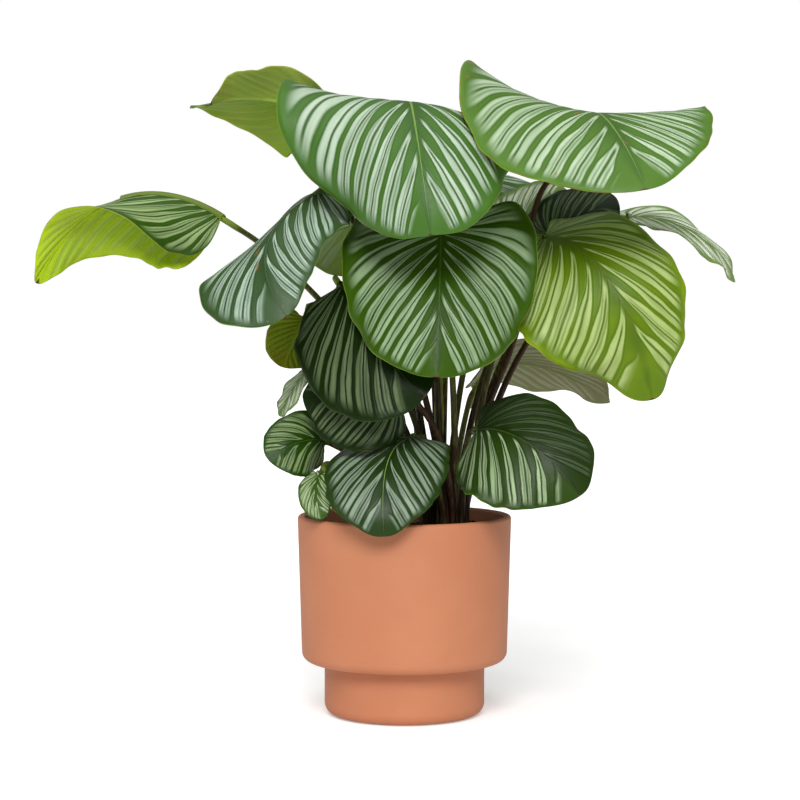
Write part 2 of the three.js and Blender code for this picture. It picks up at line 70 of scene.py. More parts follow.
@dataclass(frozen=True)
class BladeForm:
    """What all blades share, as in the solids. Lengths are in millimetres.

    Attributes:
        thickness: The solid blade's wall.
        rib_depth: The depth of the midrib's ridge at the stalk.
        rib_tip_depth: The same at the tip.
        neck: Half the blade's width where it meets the stalk.
        fullness: How round the outline is; less is rounder.
        apex_width: The width of the drawn-out tip, in radians round the outline.
        sweep: How much closer the side veins leave the midrib near the stalk.
        vein_out: How far out a side vein bends, as a share of its reach.
        vein_up: How far on towards the tip it bends.
        wall: The finer blade's wall.
        pleat: The height of the pleats between the veins.
        groove: The depth of the groove over the midrib.
        groove_width: Its width.
        rib_width: Half the ridge's width at the stalk.
        rib_tip_width: The same at the tip.
        vein_start: How the bands crowd towards the stalk at the midrib.
        vein_turn: How soon they turn towards the tip.
        vein_shift: How far the right half's bands are set off from the left half's.
        ruffled_width: Narrower halves have smaller ruffles and lobes.
        ruffles: The numbers of broad and fine ruffles along the margin.
        lobes: The numbers of broad and fine lobes along it.
        pleated: Where the pleats start from the midrib and how soon they have their height, and
            the same for where they end.
    """

    thickness: float = 0.9
    rib_depth: float = 4.4
    rib_tip_depth: float = 0.6
    neck: float = 4.6
    fullness: float = 0.76
    apex_width: float = 0.3
    sweep: float = 1.5
    vein_out: float = 0.55
    vein_up: float = 0.25
    wall: float = 0.8
    pleat: float = 0.55
    groove: float = 0.5
    groove_width: float = 2.2
    rib_width: float = 3.6
    rib_tip_width: float = 1.2
    vein_start: float = 0.53
    vein_turn: float = 0.78
    vein_shift: float = 0.37
    ruffled_width: float = 90
    ruffles: tuple[float, float] = (5, 11)
    lobes: tuple[float, float] = (6, 9.5)
    pleated: tuple[tuple[float, float], tuple[float, float]] = ((0.03, 0.2), (0.82, 0.18))


@dataclass(frozen=True)
class GridForm:
    """How a blade's grid is spread, and so how its map is read.

    Attributes:
        ends: How much closer together its rows are at the stalk and the tip.
        middle: How much closer together its columns are at the midrib.
        small: How many cells a small blade has across and along.
        large: The same for the other blades.
    """

    ends: float = 0.3
    middle: float = 1.6
    small: tuple[int, int] = (40, 76)
    large: tuple[int, int] = (68, 144)


BLADE = BladeForm()
GRID = GridForm()


# ---------------------------------------------------------------- wiring of materials


class Wiring:
    """Adds the nodes of one node tree and joins them up."""

    def __init__(self, tree: bpy.types.NodeTree) -> None:
        """Starts with an empty tree."""
        self.tree = tree
        tree.nodes.clear()

    def node(self, kind: str, **settings: object) -> bpy.types.Node:
        """Adds a node.

        Args:
            kind: The node's type.
            settings: Values of the node's own properties.

        Returns:
            The new node.
        """
        made = self.tree.nodes.new(kind)
        for key, value in settings.items():
            setattr(made, key, value)
        return made

    def feed(self, socket: Socket, value: object) -> None:
        """Joins another socket to this one, or sets a plain value on it.

        Args:
            socket: The socket to feed.
            value: A socket or a plain value.
        """
        if isinstance(value, bpy.types.NodeSocket):
            self.tree.links.new(value, socket)
        else:
            socket.default_value = value

    def use(
        self, kind: str, inputs: dict, output: object = 0, **settings: object
    ) -> Optional[Socket]:
        """Adds a node and feeds it.

        Args:
            kind: The node's type.
            inputs: A value or a socket for each input, by the input's name or number.
            output: The name or the number of the output that is wanted.
            settings: Values of the node's own properties.

        Returns:
            That output, or None if the node has no outputs.
        """
        made = self.node(kind, **settings)
        for key, value in inputs.items():
            self.feed(made.inputs[key], value)
        return made.outputs[output] if made.outputs else None

    def math(self, operation: str, *values: object) -> Socket:
        """One sum on numbers, by the Math node's operation."""
        return self.use("ShaderNodeMath", dict(enumerate(values)), operation=operation)

    def plus(self, first: object, second: object) -> Socket:
        """The sum of two values."""
        return self.math("ADD", first, second)

    def minus(self, first: object, second: object) -> Socket:
        """The first value less the second."""
        return self.math("SUBTRACT", first, second)

    def scaled(self, value: object, factor: object, offset: object) -> Socket:
        """The value times a factor, plus an offset."""
        return self.math("MULTIPLY_ADD", value, factor, offset)

    def times(self, *values: object) -> Socket:
        """The product of several values."""
        return reduce(lambda product, value: self.math("MULTIPLY", product, value), values)

    def inverse(self, value: object) -> Socket:
        """One less the value."""
        return self.minus(1.0, value)

    def size(self, value: object) -> Socket:
        """The value without its sign."""
        return self.math("ABSOLUTE", value)

    def step(self, value: object, low: object, high: object) -> Socket:
        """A soft step that rises from 0 to 1 as value goes from low to high."""
        inputs = {"Value": value, "From Min": low, "From Max": high}
        return self.use("ShaderNodeMapRange", inputs, "Result", interpolation_type="SMOOTHSTEP")

    def blend(self, share: object, first: object, second: object) -> Socket:
        """A colour between two: the first at a share of 0, and the second at 1."""
        return self.use("ShaderNodeMix", {0: share, 6: first, 7: second}, 2, data_type="RGBA")

    def spot(self, x: object, y: object) -> Socket:
        """A place from its first two numbers."""
        return self.use("ShaderNodeCombineXYZ", {0: x, 1: y})

    def parts(self, place: Socket) -> list[Socket]:
        """The first two numbers of a place."""
        return list(self.use("ShaderNodeSeparateXYZ", {0: place}).node.outputs)[:2]

    def stretched(self, place: Socket, scale: Point) -> Socket:
        """A place with each of its numbers scaled."""
        return self.use("ShaderNodeMapping", {"Vector": place, "Scale": scale})

    def mottle(self, place: object, scale: float, detail: float = 3.0) -> Socket:
        """Cloudy noise around 0.5 at a place."""
        inputs = {"Vector": place, "Scale": scale, "Detail": detail}
        return self.use("ShaderNodeTexNoise", inputs, "Fac")

    def chance(self, value: object) -> Socket:
        """A fixed random number from 0 to 1 for each whole number."""
        return self.use("ShaderNodeTexWhiteNoise", {"W": value}, "Value", noise_dimensions="1D")

    def own_place(self) -> Socket:
        """The object's own coordinates."""
        return self.use("ShaderNodeTexCoord", {}, "Object")

    def map(self, name: str) -> Socket:
        """The place on the piece's map."""
        return self.use("ShaderNodeUVMap", {}, uv_map=name)

    def seen(self) -> Socket:
        """Whether the camera looks straight at it, for the floor and the backdrop alone."""
        return self.use("ShaderNodeLightPath", {}, "Is Camera Ray")


class Coat(Wiring):
    """One material: its wiring and its shader."""

    def __init__(self, name: str, roughness: float, shine: float = 0.5) -> None:
        """Starts a material.

        Args:
            name: The material's name.
            roughness: The roughness set on the shader.
            shine: The strength of its reflections.
        """
        self.material = bpy.data.materials.new(name)
        self.material.use_nodes = True
        super().__init__(self.material.node_tree)
        self.shader = self.node("ShaderNodeBsdfPrincipled")
        self.shader.inputs["Roughness"].default_value = roughness
        self.shader.inputs["Specular IOR Level"].default_value = shine
        self.use("ShaderNodeOutputMaterial", {"Surface": self.shader.outputs[0]})

    def give(self, name: str, value: object) -> None:
        """Feeds one of the shader's inputs."""
        self.feed(self.shader.inputs[name], value)

    def emboss(self, height: Socket, depth: float) -> None:
        """Adds a bump of a real depth, in metres."""
        self.give("Normal", self.use("ShaderNodeBump", {"Distance": depth, "Height": height}))


class Effect:
    """A shader effect that several materials share, built once as a node group."""

    def __init__(self, name: str, inputs: dict[str, str], outputs: dict[str, str]) -> None:
        """Makes the group and its sockets.

        Args:
            name: The group's name.
            inputs: Each input's name and kind.
            outputs: Each output's name and kind.
        """
        self.tree = bpy.data.node_groups.new(name, "ShaderNodeTree")
        for label, kind in inputs.items():
            self.tree.interface.new_socket(label, in_out="INPUT", socket_type=f"NodeSocket{kind}")
        for label, kind in outputs.items():
            self.tree.interface.new_socket(label, in_out="OUTPUT", socket_type=f"NodeSocket{kind}")
        self.wiring = Wiring(self.tree)
        self.given = self.wiring.node("NodeGroupInput").outputs
        self.result = self.wiring.node("NodeGroupOutput").inputs

    def place(self, wiring: Wiring, **values: object) -> dict[str, Socket]:
        """Puts the effect in a material.

        Args:
            wiring: The material's wiring.
            values: A value or a socket for each input.

        Returns:
            The outputs by name.
        """
        made = wiring.node("ShaderNodeGroup", node_tree=self.tree)
        for label, value in values.items():
            wiring.feed(made.inputs[label], value)
        return {socket.name: socket for socket in made.outputs}


@dataclass(frozen=True)
class BandForm:
    """How the bands of every leaf are drawn.

    Places run from 0 at the midrib to 1 at the margin, or from 0 at the stalk to 1 at the tip, and
    widths are shares of the room that one band has. In a chance, the first number is the least and
    the second is what chance adds. In a range, a change starts at the first and ends at the second.

    Attributes:
        stray: How far the veins stray.
        steady: The range along the leaf in which they stop straying.
        middle: The chance of where a band's middle lies.
        begin: The chance of where a band starts.
        growth: How far from there it has its full width.
        slim: Its width where it starts, as a share of the full width.
        fullness: The chance of its width.
        narrowing: How much it narrows at the margin.
        narrows: The range in which it does.
        softness: How soft its sides are at the midrib, and how much more so at the margin.
        uneven: How far its end strays, and the chance that it ends later.
        fade: The range in which it loses its silver.
        tip: The range along the leaf in which the bands end.
        streaks: The streaks in a band, their wander and the step from band to band.
        line_place: The chance of where the dark vein in a band lies.
        line: The chance of its width.
        twin_place: The chance of how far a second pair of veins lies from it.
        twin_width: Their width.
        twin_strength: Their strength.
        twin_odds: The chance value above which a band has them.
        line_start: The range in which the dark veins start.
        line_end: The range in which they end.
        outline_end: The range in which the dark line beside a band ends.
        outline_strength: Its strength.
        rib: The midrib's width at the stalk, and how much less it is at the tip.
        border: The range in which the plain border starts.
        edge: The range in which the thin margin starts.
        relief: The height of the pleats in the bump, and the range in which they start.
    """

    stray: float = 0.03
    steady: tuple[float, float] = (0.6, 0.95)
    middle: tuple[float, float] = (0.45, 0.1)
    begin: tuple[float, float] = (0.012, 0.04)
    growth: float = 0.4
    slim: float = 0.35
    fullness: tuple[float, float] = (0.83, 0.34)
    narrowing: float = 0.25
    narrows: tuple[float, float] = (0.84, 1.0)
    softness: tuple[float, float] = (0.055, 0.1)
    uneven: tuple[float, float] = (0.16, 0.04)
    fade: tuple[float, float] = (0.8, 0.98)
    tip: tuple[float, float] = (0.87, 0.915)
    streaks: tuple[float, float, float] = (3.6, 2.0, 3.7)
    line_place: tuple[float, float] = (-0.85, -0.3)
    line: tuple[float, float] = (0.16, 0.12)
    twin_place: tuple[float, float] = (0.3, 0.16)
    twin_width: float = 0.2
    twin_strength: float = 0.55
    twin_odds: float = 0.4
    line_start: tuple[float, float] = (0.05, 0.16)
    line_end: tuple[float, float] = (0.82, 0.97)
    outline_end: tuple[float, float] = (0.8, 0.95)
    outline_strength: float = 0.6
    rib: tuple[float, float] = (0.016, -0.012)
    border: tuple[float, float] = (0.93, 1.02)
    edge: tuple[float, float] = (0.985, 0.997)
    relief: tuple[float, float, float] = (0.5, 0.02, 0.2)


def vein_bands() -> Effect:
    """The pattern of a calathea leaf, from the map of the grid that its blade was laid from.

    The map's first number runs from the stalk to the tip, and its second from one margin over the
    midrib at 0.5 to the other margin.

    Returns:
        The effect, with masks for the silver bands, dark vein lines, midrib, border and edge.
    """
    effect = Effect(
        "vein_bands",
        {"Map": "Vector", **dict.fromkeys(("Bands", "Width", "Sweep", "Seed"), "Float")},
        dict.fromkeys(
            ("Silver", "Streak", "Vein", "Rib", "Border", "Edge", "Relief", "Out", "Along", "Count",
             "Hand"),
            "Float",
        ),
    )
    w, given, form = effect.wiring, effect.given, BandForm()

    def drawn(luck: Socket, numbers: tuple[float, float]) -> Socket:
        """A value that grows with luck, from the first number by the second."""
        return w.scaled(luck, numbers[1], numbers[0])

    first, second = w.parts(given["Map"])
    turn = w.math("COSINE", w.times(first, math.pi))
    along = w.scaled(first, 1 - 2 * GRID.ends, w.scaled(turn, -GRID.ends, GRID.ends))
    across = w.scaled(second, 2.0, -1.0)
    out = w.math("POWER", w.size(across), GRID.middle)
    hand = w.math("GREATER_THAN", across, 0.0)
    bent = w.math("POWER", out, BLADE.vein_turn)
    share = w.math("POWER", along, w.scaled(bent, given["Sweep"], BLADE.vein_start))
    wander = w.spot(w.scaled(share, 9.0, given["Seed"]), w.scaled(out, 3.0, w.times(hand, 20.0)))
    drift = w.minus(w.mottle(wander, 1.0, 1.0), 0.5)
    drift = w.times(drift, w.inverse(w.step(along, *form.steady)))
    count = w.times(w.scaled(drift, form.stray, share), given["Bands"])
    count = w.scaled(hand, BLADE.vein_shift, count)
    cell = w.math("FLOOR", count)
    inside = w.minus(count, cell)
    # Two chance numbers for each band of each half of each leaf.
    label = w.scaled(hand, 57.0, w.plus(cell, given["Seed"]))
    luck = w.chance(label)
    more_luck = w.chance(w.plus(label, 0.31))
    # Each band starts as a point beside the midrib, widens fast and fades short of the margin.
    away = w.times(w.size(w.minus(inside, drawn(luck, form.middle))), 2.0)
    begin = drawn(luck, form.begin)
    grown = w.step(out, begin, w.plus(begin, form.growth))
    closing = w.scaled(w.step(out, *form.narrows), -form.narrowing, 1.0)
    grown = w.scaled(grown, 1 - form.slim, form.slim)
    width = w.times(given["Width"], grown, drawn(more_luck, form.fullness), closing)
    soft = drawn(out, form.softness)
    band = w.inverse(w.step(away, w.minus(width, soft), w.plus(width, soft)))
    reach = w.plus(w.scaled(drift, form.uneven[0], out), w.times(luck, form.uneven[1]))
    tip_fade = w.inverse(w.step(share, *form.tip))
    start = w.step(out, begin, w.plus(begin, 0.05))
    silver = w.times(band, w.inverse(w.step(reach, *form.fade)), tip_fade, start)
    # Fine streaks run along the band, and one or two thin dark veins split it.
    side_by_side, bend, hop = form.streaks
    streak_place = w.spot(w.times(count, side_by_side), w.scaled(out, bend, w.times(cell, hop)))
    streak = w.mottle(streak_place, 1.0, 1.0)
    offset = w.size(w.scaled(inside, 2.0, drawn(more_luck, form.line_place)))
    line_width = drawn(luck, form.line)
    line = w.inverse(w.step(offset, w.times(line_width, 0.1), line_width))
    twin = w.size(w.minus(offset, drawn(luck, form.twin_place)))
    has_twin = w.math("GREATER_THAN", more_luck, form.twin_odds)
    twin = w.times(w.inverse(w.step(twin, 0.0, form.twin_width)), has_twin, form.twin_strength)
    inner, outer = w.step(out, *form.line_start), w.inverse(w.step(out, *form.line_end))
    lines = w.times(w.math("MAXIMUM", line, twin), inner, outer, tip_fade)
    # A dark line lies beside each band.
    close, middle, far = (w.plus(width, gap) for gap in (-0.02, 0.1, 0.3))
    outline = w.times(
        w.step(away, close, middle), w.inverse(w.step(away, middle, far)),
        w.inverse(w.step(out, *form.outline_end)), tip_fade,
    )
    rib_width = drawn(along, form.rib)
    height, *low = form.relief
    wave = w.math("COSINE", w.times(count, 2 * math.pi))
    for name, value in {
        "Silver": silver,
        "Streak": streak,
        "Vein": w.math("MAXIMUM", lines, w.times(outline, form.outline_strength)),
        "Rib": w.inverse(w.step(out, w.times(rib_width, 0.55), rib_width)),
        "Border": w.step(reach, *form.border),
        "Edge": w.step(out, *form.edge),
        "Relief": w.times(wave, w.step(out, *low), height),
        "Out": out,
        "Along": along,
        "Count": count,
        "Hand": hand,
    }.items():
        w.feed(effect.result[name], value)
    return effect


def speckle() -> Effect:
    """Small scattered spots, such as age spots on a leaf or pores in clay.

    Returns:
        The effect, with one mask.
    """
    effect = Effect(
        "speckle",
        {"Place": "Vector", "Scale": "Float", "Size": "Float", "Share": "Float"},
        {"Spots": "Float"},
    )
    w, given = effect.wiring, effect.given
    inputs = {"Vector": given["Place"], "Scale": given["Scale"]}
    distance = w.use("ShaderNodeTexVoronoi", inputs, "Distance", feature="F1")
    dot = w.inverse(w.step(distance, w.times(given["Size"], 0.5), given["Size"]))
    pick = w.use("ShaderNodeSeparateColor", {0: distance.node.outputs["Color"]})
    w.feed(effect.result["Spots"], w.times(dot, w.math("LESS_THAN", pick, given["Share"])))
    return effect


# ---------------------------------------------------------------- finishes


@dataclass(frozen=True)
class LeafFinish:
    """How one leaf is coloured.

    Attributes:
        green: Between the bands.
        dark: The thin veins and the ground beside the midrib.
        silver: The bands.
        rib: The midrib.
        border: The broad plain border.
        edge: The thin margin.
        under_right: The underside of the right half.
        under_left: The underside of the left half.
        bands: How many bands each half has.
        width: The share of its space that a band takes.
        sweep: How strongly the bands turn towards the tip.
        spots: The share of places with a brown age spot.
        scorch: How far the margin has gone brown.
        dry_tip: How far the tip has dried, as a share of the length.
        gloss: The roughness of the upper face.
        shine: The strength of its reflections.
        shaded_left: How much painted shade lies on the left half: its bands lose their silver and
            its colour darkens.
    """

    green: Colour = paint(68, 109, 38)
    dark: Colour = paint(42, 76, 24)
    silver: Colour = paint(189, 208, 185)
    rib: Colour = paint(118, 152, 68)
    border: Colour = paint(70, 113, 32)
    edge: Colour = paint(140, 172, 60)
    under_right: Colour = paint(112, 136, 62)
    under_left: Colour = paint(112, 136, 62)
    bands: float = 11.0
    width: float = 0.7
    sweep: float = 1.05
    spots: float = 0.0
    scorch: float = 0.1
    dry_tip: float = 0.004
    gloss: float = 0.4
    shine: float = 0.22
    shaded_left: float = 0.0


def tinted(base: LeafFinish, **changes: object) -> LeafFinish:
    """A leaf's finish made from another one.

    Args:
        base: The other finish.
        changes: Its new values. Colours are given as seen on a screen, from 0 to 255.

    Returns:
        The finish.
    """
    for key, value in changes.items():
        if isinstance(value, tuple):
            changes[key] = paint(*value)
    return replace(base, **changes)


@dataclass(frozen=True)
class StalkFinish:
    """How a leaf stalk is coloured, from its foot to the joint under the blade."""

    foot: Colour = paint(46, 22, 9)
    shaft: Colour = paint(56, 54, 14)
    # light: the painted light on one side of the stalk, which also tints its streaks.
    light: Colour = paint(116, 112, 50)
    joint: Colour = paint(112, 130, 40)
    roughness: float = 0.5
    shine: float = 0.25


@dataclass(frozen=True)
class ClayFinish:
    """Smooth unglazed clay."""

    clay: Colour = paint(195, 123, 85)
    pale: Colour = paint(201, 130, 92)
    deep: Colour = paint(180, 107, 72)
    roughness: float = 0.62


@dataclass(frozen=True)
class SoilFinish:
    """Damp, nearly black potting mix."""

    dark: Colour = paint(22, 18, 16)
    brown: Colour = paint(52, 40, 32)
    roughness: float = 0.9


AGE_SPOT = paint(150, 104, 58)
SCORCHED = paint(138, 96, 44)
DRY = paint(84, 58, 30)


class Dresser:
    """Makes the materials. The shared effects are built once."""

    def __init__(self) -> None:
        """Builds the shared effects."""
        self.bands = vein_bands()
        self.speckle = speckle()

    def pattern(self, w: Coat, finish: LeafFinish, seed: float) -> dict[str, Socket]:
        """Puts the bands of a leaf in one of its materials."""
        numbers = {"Bands": finish.bands, "Width": finish.width, "Sweep": finish.sweep}
        return self.bands.place(w, Map=w.map("veins"), Seed=seed, **numbers)

    @staticmethod
    def margin_wear(
        w: Coat, colour: Socket, pattern: dict[str, Socket], finish: LeafFinish
    ) -> Socket:
        """Adds the thin edge, with its dry patches, and the dry tip.

        Args:
            w: The material.
            colour: The colour so far.
            pattern: The leaf's bands.
            finish: The leaf's colours.

        Returns:
            The colour with its margin.
        """
        colour = w.blend(w.times(pattern["Edge"], 0.55), colour, finish.edge)
        patches = w.step(w.mottle(w.own_place(), 60.0), 0.66 - 0.3 * finish.scorch, 0.74)
        colour = w.blend(w.times(pattern["Edge"], patches), colour, SCORCHED)
        dry = w.step(pattern["Along"], 1 - 2 * finish.dry_tip, 1 - finish.dry_tip)
        return w.blend(dry, colour, DRY)

    def upper_face(self, name: str, finish: LeafFinish, seed: float) -> bpy.types.Material:
        """The striped upper face of a blade.

        Args:
            name: The leaf's name.
            finish: The leaf's colours.
            seed: Sets the chance of each band.

        Returns:
            The material.
        """
        w = Coat(f"{name}_upper", finish.gloss, finish.shine)
        pattern = self.pattern(w, finish, seed)
        place = w.own_place()
        cloud = w.mottle(place, 22.0)
        fine = w.mottle(place, 260.0, 2.0)
        inner = w.inverse(w.step(pattern["Out"], 0.0, 0.2))
        ground = w.blend(w.times(inner, 0.6), finish.green, finish.dark)
        ground = w.blend(w.step(cloud, 0.35, 0.75), ground, w.blend(0.35, ground, finish.border))
        dull = w.blend(0.4, finish.silver, finish.green)
        silver = w.blend(w.step(pattern["Streak"], 0.38, 0.72), finish.silver, dull)
        grainy = w.times(w.step(fine, 0.4, 0.8), 0.3)
        tired = w.math("MAXIMUM", grainy, w.times(w.step(pattern["Out"], 0.5, 1.0), 0.4))
        silver = w.blend(tired, silver, dull)
        # Painted shade on the left half: its bands lose their silver.
        on_left = w.inverse(pattern["Hand"])
        silver = w.blend(w.times(on_left, finish.shaded_left), silver, finish.green)
        colour = w.blend(pattern["Silver"], ground, silver)
        colour = w.blend(pattern["Vein"], colour, w.blend(0.3, finish.dark, finish.green))
        colour = w.blend(w.times(pattern["Border"], 0.85), colour, finish.border)
        colour = w.blend(pattern["Rib"], colour, finish.rib)
        spot_place = w.spot(
            w.times(pattern["Count"], 3.0),
            w.scaled(pattern["Out"], 7.0, w.times(pattern["Hand"], 30.0)),
        )
        spots = self.speckle.place(w, Place=spot_place, Scale=1.0, Size=0.3, Share=finish.spots)
        colour = w.blend(w.times(spots["Spots"], 0.7), colour, AGE_SPOT)
        # Painted shade: the left half is darkened towards the dark green.
        shade = w.times(w.inverse(pattern["Hand"]), 0.6 * finish.shaded_left)
        colour = w.blend(shade, colour, finish.dark)
        w.give("Base Color", self.margin_wear(w, colour, pattern, finish))
        w.give("Roughness", w.scaled(fine, 0.14, finish.gloss - 0.07))
        height = w.scaled(fine, 0.25, w.minus(pattern["Relief"], pattern["Vein"]))
        w.emboss(height, 0.0004)
        return w.material

    def lower_face(self, name: str, finish: LeafFinish, seed: float) -> bpy.types.Material:
        """The paler, dull underside of a blade, with the bands showing through faintly.

        Args:
            name: The leaf's name.
            finish: The leaf's colours.
            seed: Sets the chance of each band.

        Returns:
            The material.
        """
        w = Coat(f"{name}_under", 0.6, finish.shine)
        pattern = self.pattern(w, finish, seed)
        place = w.own_place()
        ground = w.blend(pattern["Hand"], finish.under_left, finish.under_right)
        cloud = w.step(w.mottle(place, 18.0), 0.3, 0.8)
        ground = w.blend(cloud, ground, w.blend(0.2, ground, finish.edge))
        colour = w.blend(w.times(pattern["Silver"], 0.22), ground, finish.silver)
        colour = w.blend(w.times(pattern["Vein"], 0.25), colour, finish.dark)
        colour = w.blend(pattern["Rib"], colour, finish.rib)
        w.give("Base Color", self.margin_wear(w, colour, pattern, finish))
        height = w.plus(pattern["Relief"], w.mottle(place, 300.0, 2.0))
        w.emboss(height, 0.0005)
        return w.material

    def stalk(self, name: str, finish: StalkFinish) -> bpy.types.Material:
        """A leaf stalk, streaked along its length, with painted light down one side.

        Args:
            name: The material's name.
            finish: The stalk's colours.

        Returns:
            The material.
        """
        w = Coat(name, finish.roughness, finish.shine)
        around, along = w.parts(w.map("round"))
        place = w.own_place()
        streak = w.mottle(w.stretched(place, (1.0, 1.0, 0.12)), 420.0, 2.0)
        cloud = w.mottle(place, 30.0)
        foot = w.step(w.scaled(cloud, 0.2, along), 0.3, 0.62)
        colour = w.blend(foot, finish.foot, finish.shaft)
        # Painted light: one side of the stalk is lighter, towards the light colour.
        painted_light_side = w.times(w.step(w.math("SINE", w.times(around, 2 * math.pi)), 0.3, 1.0), 0.5)
        colour = w.blend(painted_light_side, colour, finish.light)
        colour = w.blend(w.step(streak, 0.45, 0.7), colour, w.blend(0.4, colour, finish.light))
        colour = w.blend(w.step(along, 0.945, 0.965), colour, finish.joint)
        w.give("Base Color", colour)
        w.emboss(streak, 0.0003)
        return w.material

    def clay(self, name: str, finish: ClayFinish) -> bpy.types.Material:
        """The pot's smooth, matt clay, with a little cloudiness and fine pores.

        Args:
            name: The material's name.
            finish: The clay's colours.

        Returns:
            The material.
        """
        w = Coat(name, finish.roughness)
        place = w.own_place()
        cloud = w.mottle(place, 9.0, 4.0)
        grain = w.mottle(place, 900.0, 2.0)
        rings = w.mottle(w.stretched(place, (0.4, 0.4, 60.0)), 6.0, 2.0)
        colour = w.blend(w.step(cloud, 0.35, 0.7), finish.clay, finish.pale)
        colour = w.blend(w.times(w.step(grain, 0.55, 0.8), 0.3), colour, finish.deep)
        colour = w.blend(w.times(w.step(rings, 0.5, 0.9), 0.1), colour, finish.deep)
        pores = self.speckle.place(w, Place=place, Scale=380.0, Size=0.2, Share=0.12)
        colour = w.blend(w.times(pores["Spots"], 0.35), colour, finish.deep)
        w.give("Base Color", colour)
        w.give("Roughness", w.scaled(cloud, 0.12, finish.roughness - 0.06))
        height = w.minus(w.scaled(rings, 0.3, grain), pores["Spots"])
        w.emboss(height, 0.00012)
        return w.material

    def soil(self, name: str, finish: SoilFinish) -> bpy.types.Material:
        """The granular potting mix.

        Args:
            name: The material's name.
            finish: The soil's colours.

        Returns:
            The material.
        """
        w = Coat(name, finish.roughness)
        place = w.own_place()
        grain = w.mottle(place, 320.0, 4.0)
        cloud = w.mottle(place, 40.0)
        brown = w.times(w.step(grain, 0.45, 0.75), w.step(cloud, 0.3, 0.7))
        colour = w.blend(brown, finish.dark, finish.brown)
        w.give("Base Color", colour)
        w.emboss(grain, 0.0012)
        return w.material


# ---------------------------------------------------------------- making sheets and tubes


def clear_selection() -> None:
    """Deselects every object, because an operator acts on all that is selected."""
    if bpy.context.object and bpy.context.object.mode != "OBJECT":
        bpy.ops.object.mode_set(mode="OBJECT")
    bpy.ops.object.select_all(action="DESELECT")


def focus(piece: bpy.types.Object) -> None:
    """Makes one piece the only selected and the active one.

    Args:
        piece: The piece.
    """
    clear_selection()
    piece.select_set(True)
    bpy.context.view_layer.objects.active = piece


@contextmanager
def editing(piece: bpy.types.Object, select: Optional[str] = "SELECT") -> Iterator[None]:
    """Opens a piece in edit mode, and closes it again.

    Args:
        piece: The piece.
        select: What to do with its points first, or None to leave them as they are.

    Yields:
        Nothing.
    """
    focus(piece)
    bpy.ops.object.mode_set(mode="EDIT")
    if select:
        bpy.ops.mesh.select_all(action=select)
    yield
    bpy.ops.object.mode_set(mode="OBJECT")


def apply_modifier(piece: bpy.types.Object, kind: str, **settings: object) -> None:
    """Adds a modifier to a piece and applies it.

    Args:
        piece: The piece.
        kind: The modifier's type.
        settings: Values of the modifier's properties.
    """
    focus(piece)
    modifier = piece.modifiers.new(kind.lower(), kind)
    for key, value in settings.items():
        setattr(modifier, key, value)
    bpy.ops.object.modifier_apply(modifier=modifier.name)


def laid_sheet(
    name: str,
    across: int,
    along: int,
    lay: Callable[[np.ndarray, np.ndarray], np.ndarray],
    map_name: str,
    to_map: Callable[[np.ndarray, np.ndarray], tuple[np.ndarray, np.ndarray]],
    weight: Optional[Callable[[np.ndarray, np.ndarray], np.ndarray]] = None,
) -> bpy.types.Object:
    """A grid primitive whose points are laid on a surface, with its doubles merged.

    Args:
        name: The piece's name.
        across: The number of cells across.
        along: The number of cells along.
        lay: Gives the places for the grid's own coordinates, each from -1 to 1.
        map_name: The name of the piece's UV map.
        to_map: Gives the map's two numbers for the grid's own coordinates.
        weight: Gives the share of the wall's greatest thickness at each point, if it varies.

    Returns:
        The piece.
    """
    clear_selection()
    bpy.ops.mesh.primitive_grid_add(x_subdivisions=across, y_subdivisions=along, size=2)
    piece = bpy.context.object
    piece.name = name
    mesh = piece.data
    mesh.name = name
    flat = np.empty(len(mesh.vertices) * 3)
    mesh.vertices.foreach_get("co", flat)
    x, y = flat[0::3].copy(), flat[1::3].copy()
    first, second = to_map(x, y)
    corners = np.empty(len(mesh.loops), dtype=int)
    mesh.loops.foreach_get("vertex_index", corners)
    layer = mesh.uv_layers.active or mesh.uv_layers.new()
    layer.name = map_name
    layer.data.foreach_set("uv", np.column_stack([first[corners], second[corners]]).ravel())
    if weight is not None:
        group = piece.vertex_groups.new(name="wall")
        for index, share in enumerate(weight(x, y)):
            group.add([index], float(share), "REPLACE")
    mesh.vertices.foreach_set("co", lay(x, y).ravel())
    mesh.update()
    with editing(piece):
        bpy.ops.mesh.remove_doubles(threshold=0.00001)
    bpy.ops.object.shade_smooth()
    return piece


def split_along_veins(piece: bpy.types.Object) -> None:
    """Halves the faces of a blade so that the cuts follow its side veins.

    Args:
        piece: The blade, with its map of the veins.
    """
    mesh = piece.data
    spots = np.empty(len(mesh.loops) * 2)
    mesh.uv_layers.active.data.foreach_get("uv", spots)
    starts, counts = np.empty((2, len(mesh.polygons)), dtype=int)
    mesh.polygons.foreach_get("loop_start", starts)
    mesh.polygons.foreach_get("loop_total", counts)
    right = np.add.reduceat(spots[1::2], starts) / counts > 0.5
    with editing(piece, "DESELECT"):
        bpy.ops.mesh.select_mode(type="FACE")
    mesh.polygons.foreach_set("select", right)
    with editing(piece, None):
        bpy.ops.mesh.quads_convert_to_tris(quad_method="FIXED", ngon_method="BEAUTY")
        bpy.ops.mesh.select_all(action="SELECT")
        bpy.ops.mesh.quads_convert_to_tris(quad_method="FIXED_ALTERNATE", ngon_method="BEAUTY")
        bpy.ops.mesh.select_mode(type="VERT")


def to_round_map(x: np.ndarray, y: np.ndarray) -> tuple[np.ndarray, np.ndarray]:
    """The map of a tube: round it, and along it."""
    return (x + 1) / 2, (y + 1) / 2


def close_ends(piece: bpy.types.Object) -> None:
    """Fills the open ends of a tube."""
    with editing(piece):
        bpy.ops.mesh.fill_holes(sides=0)


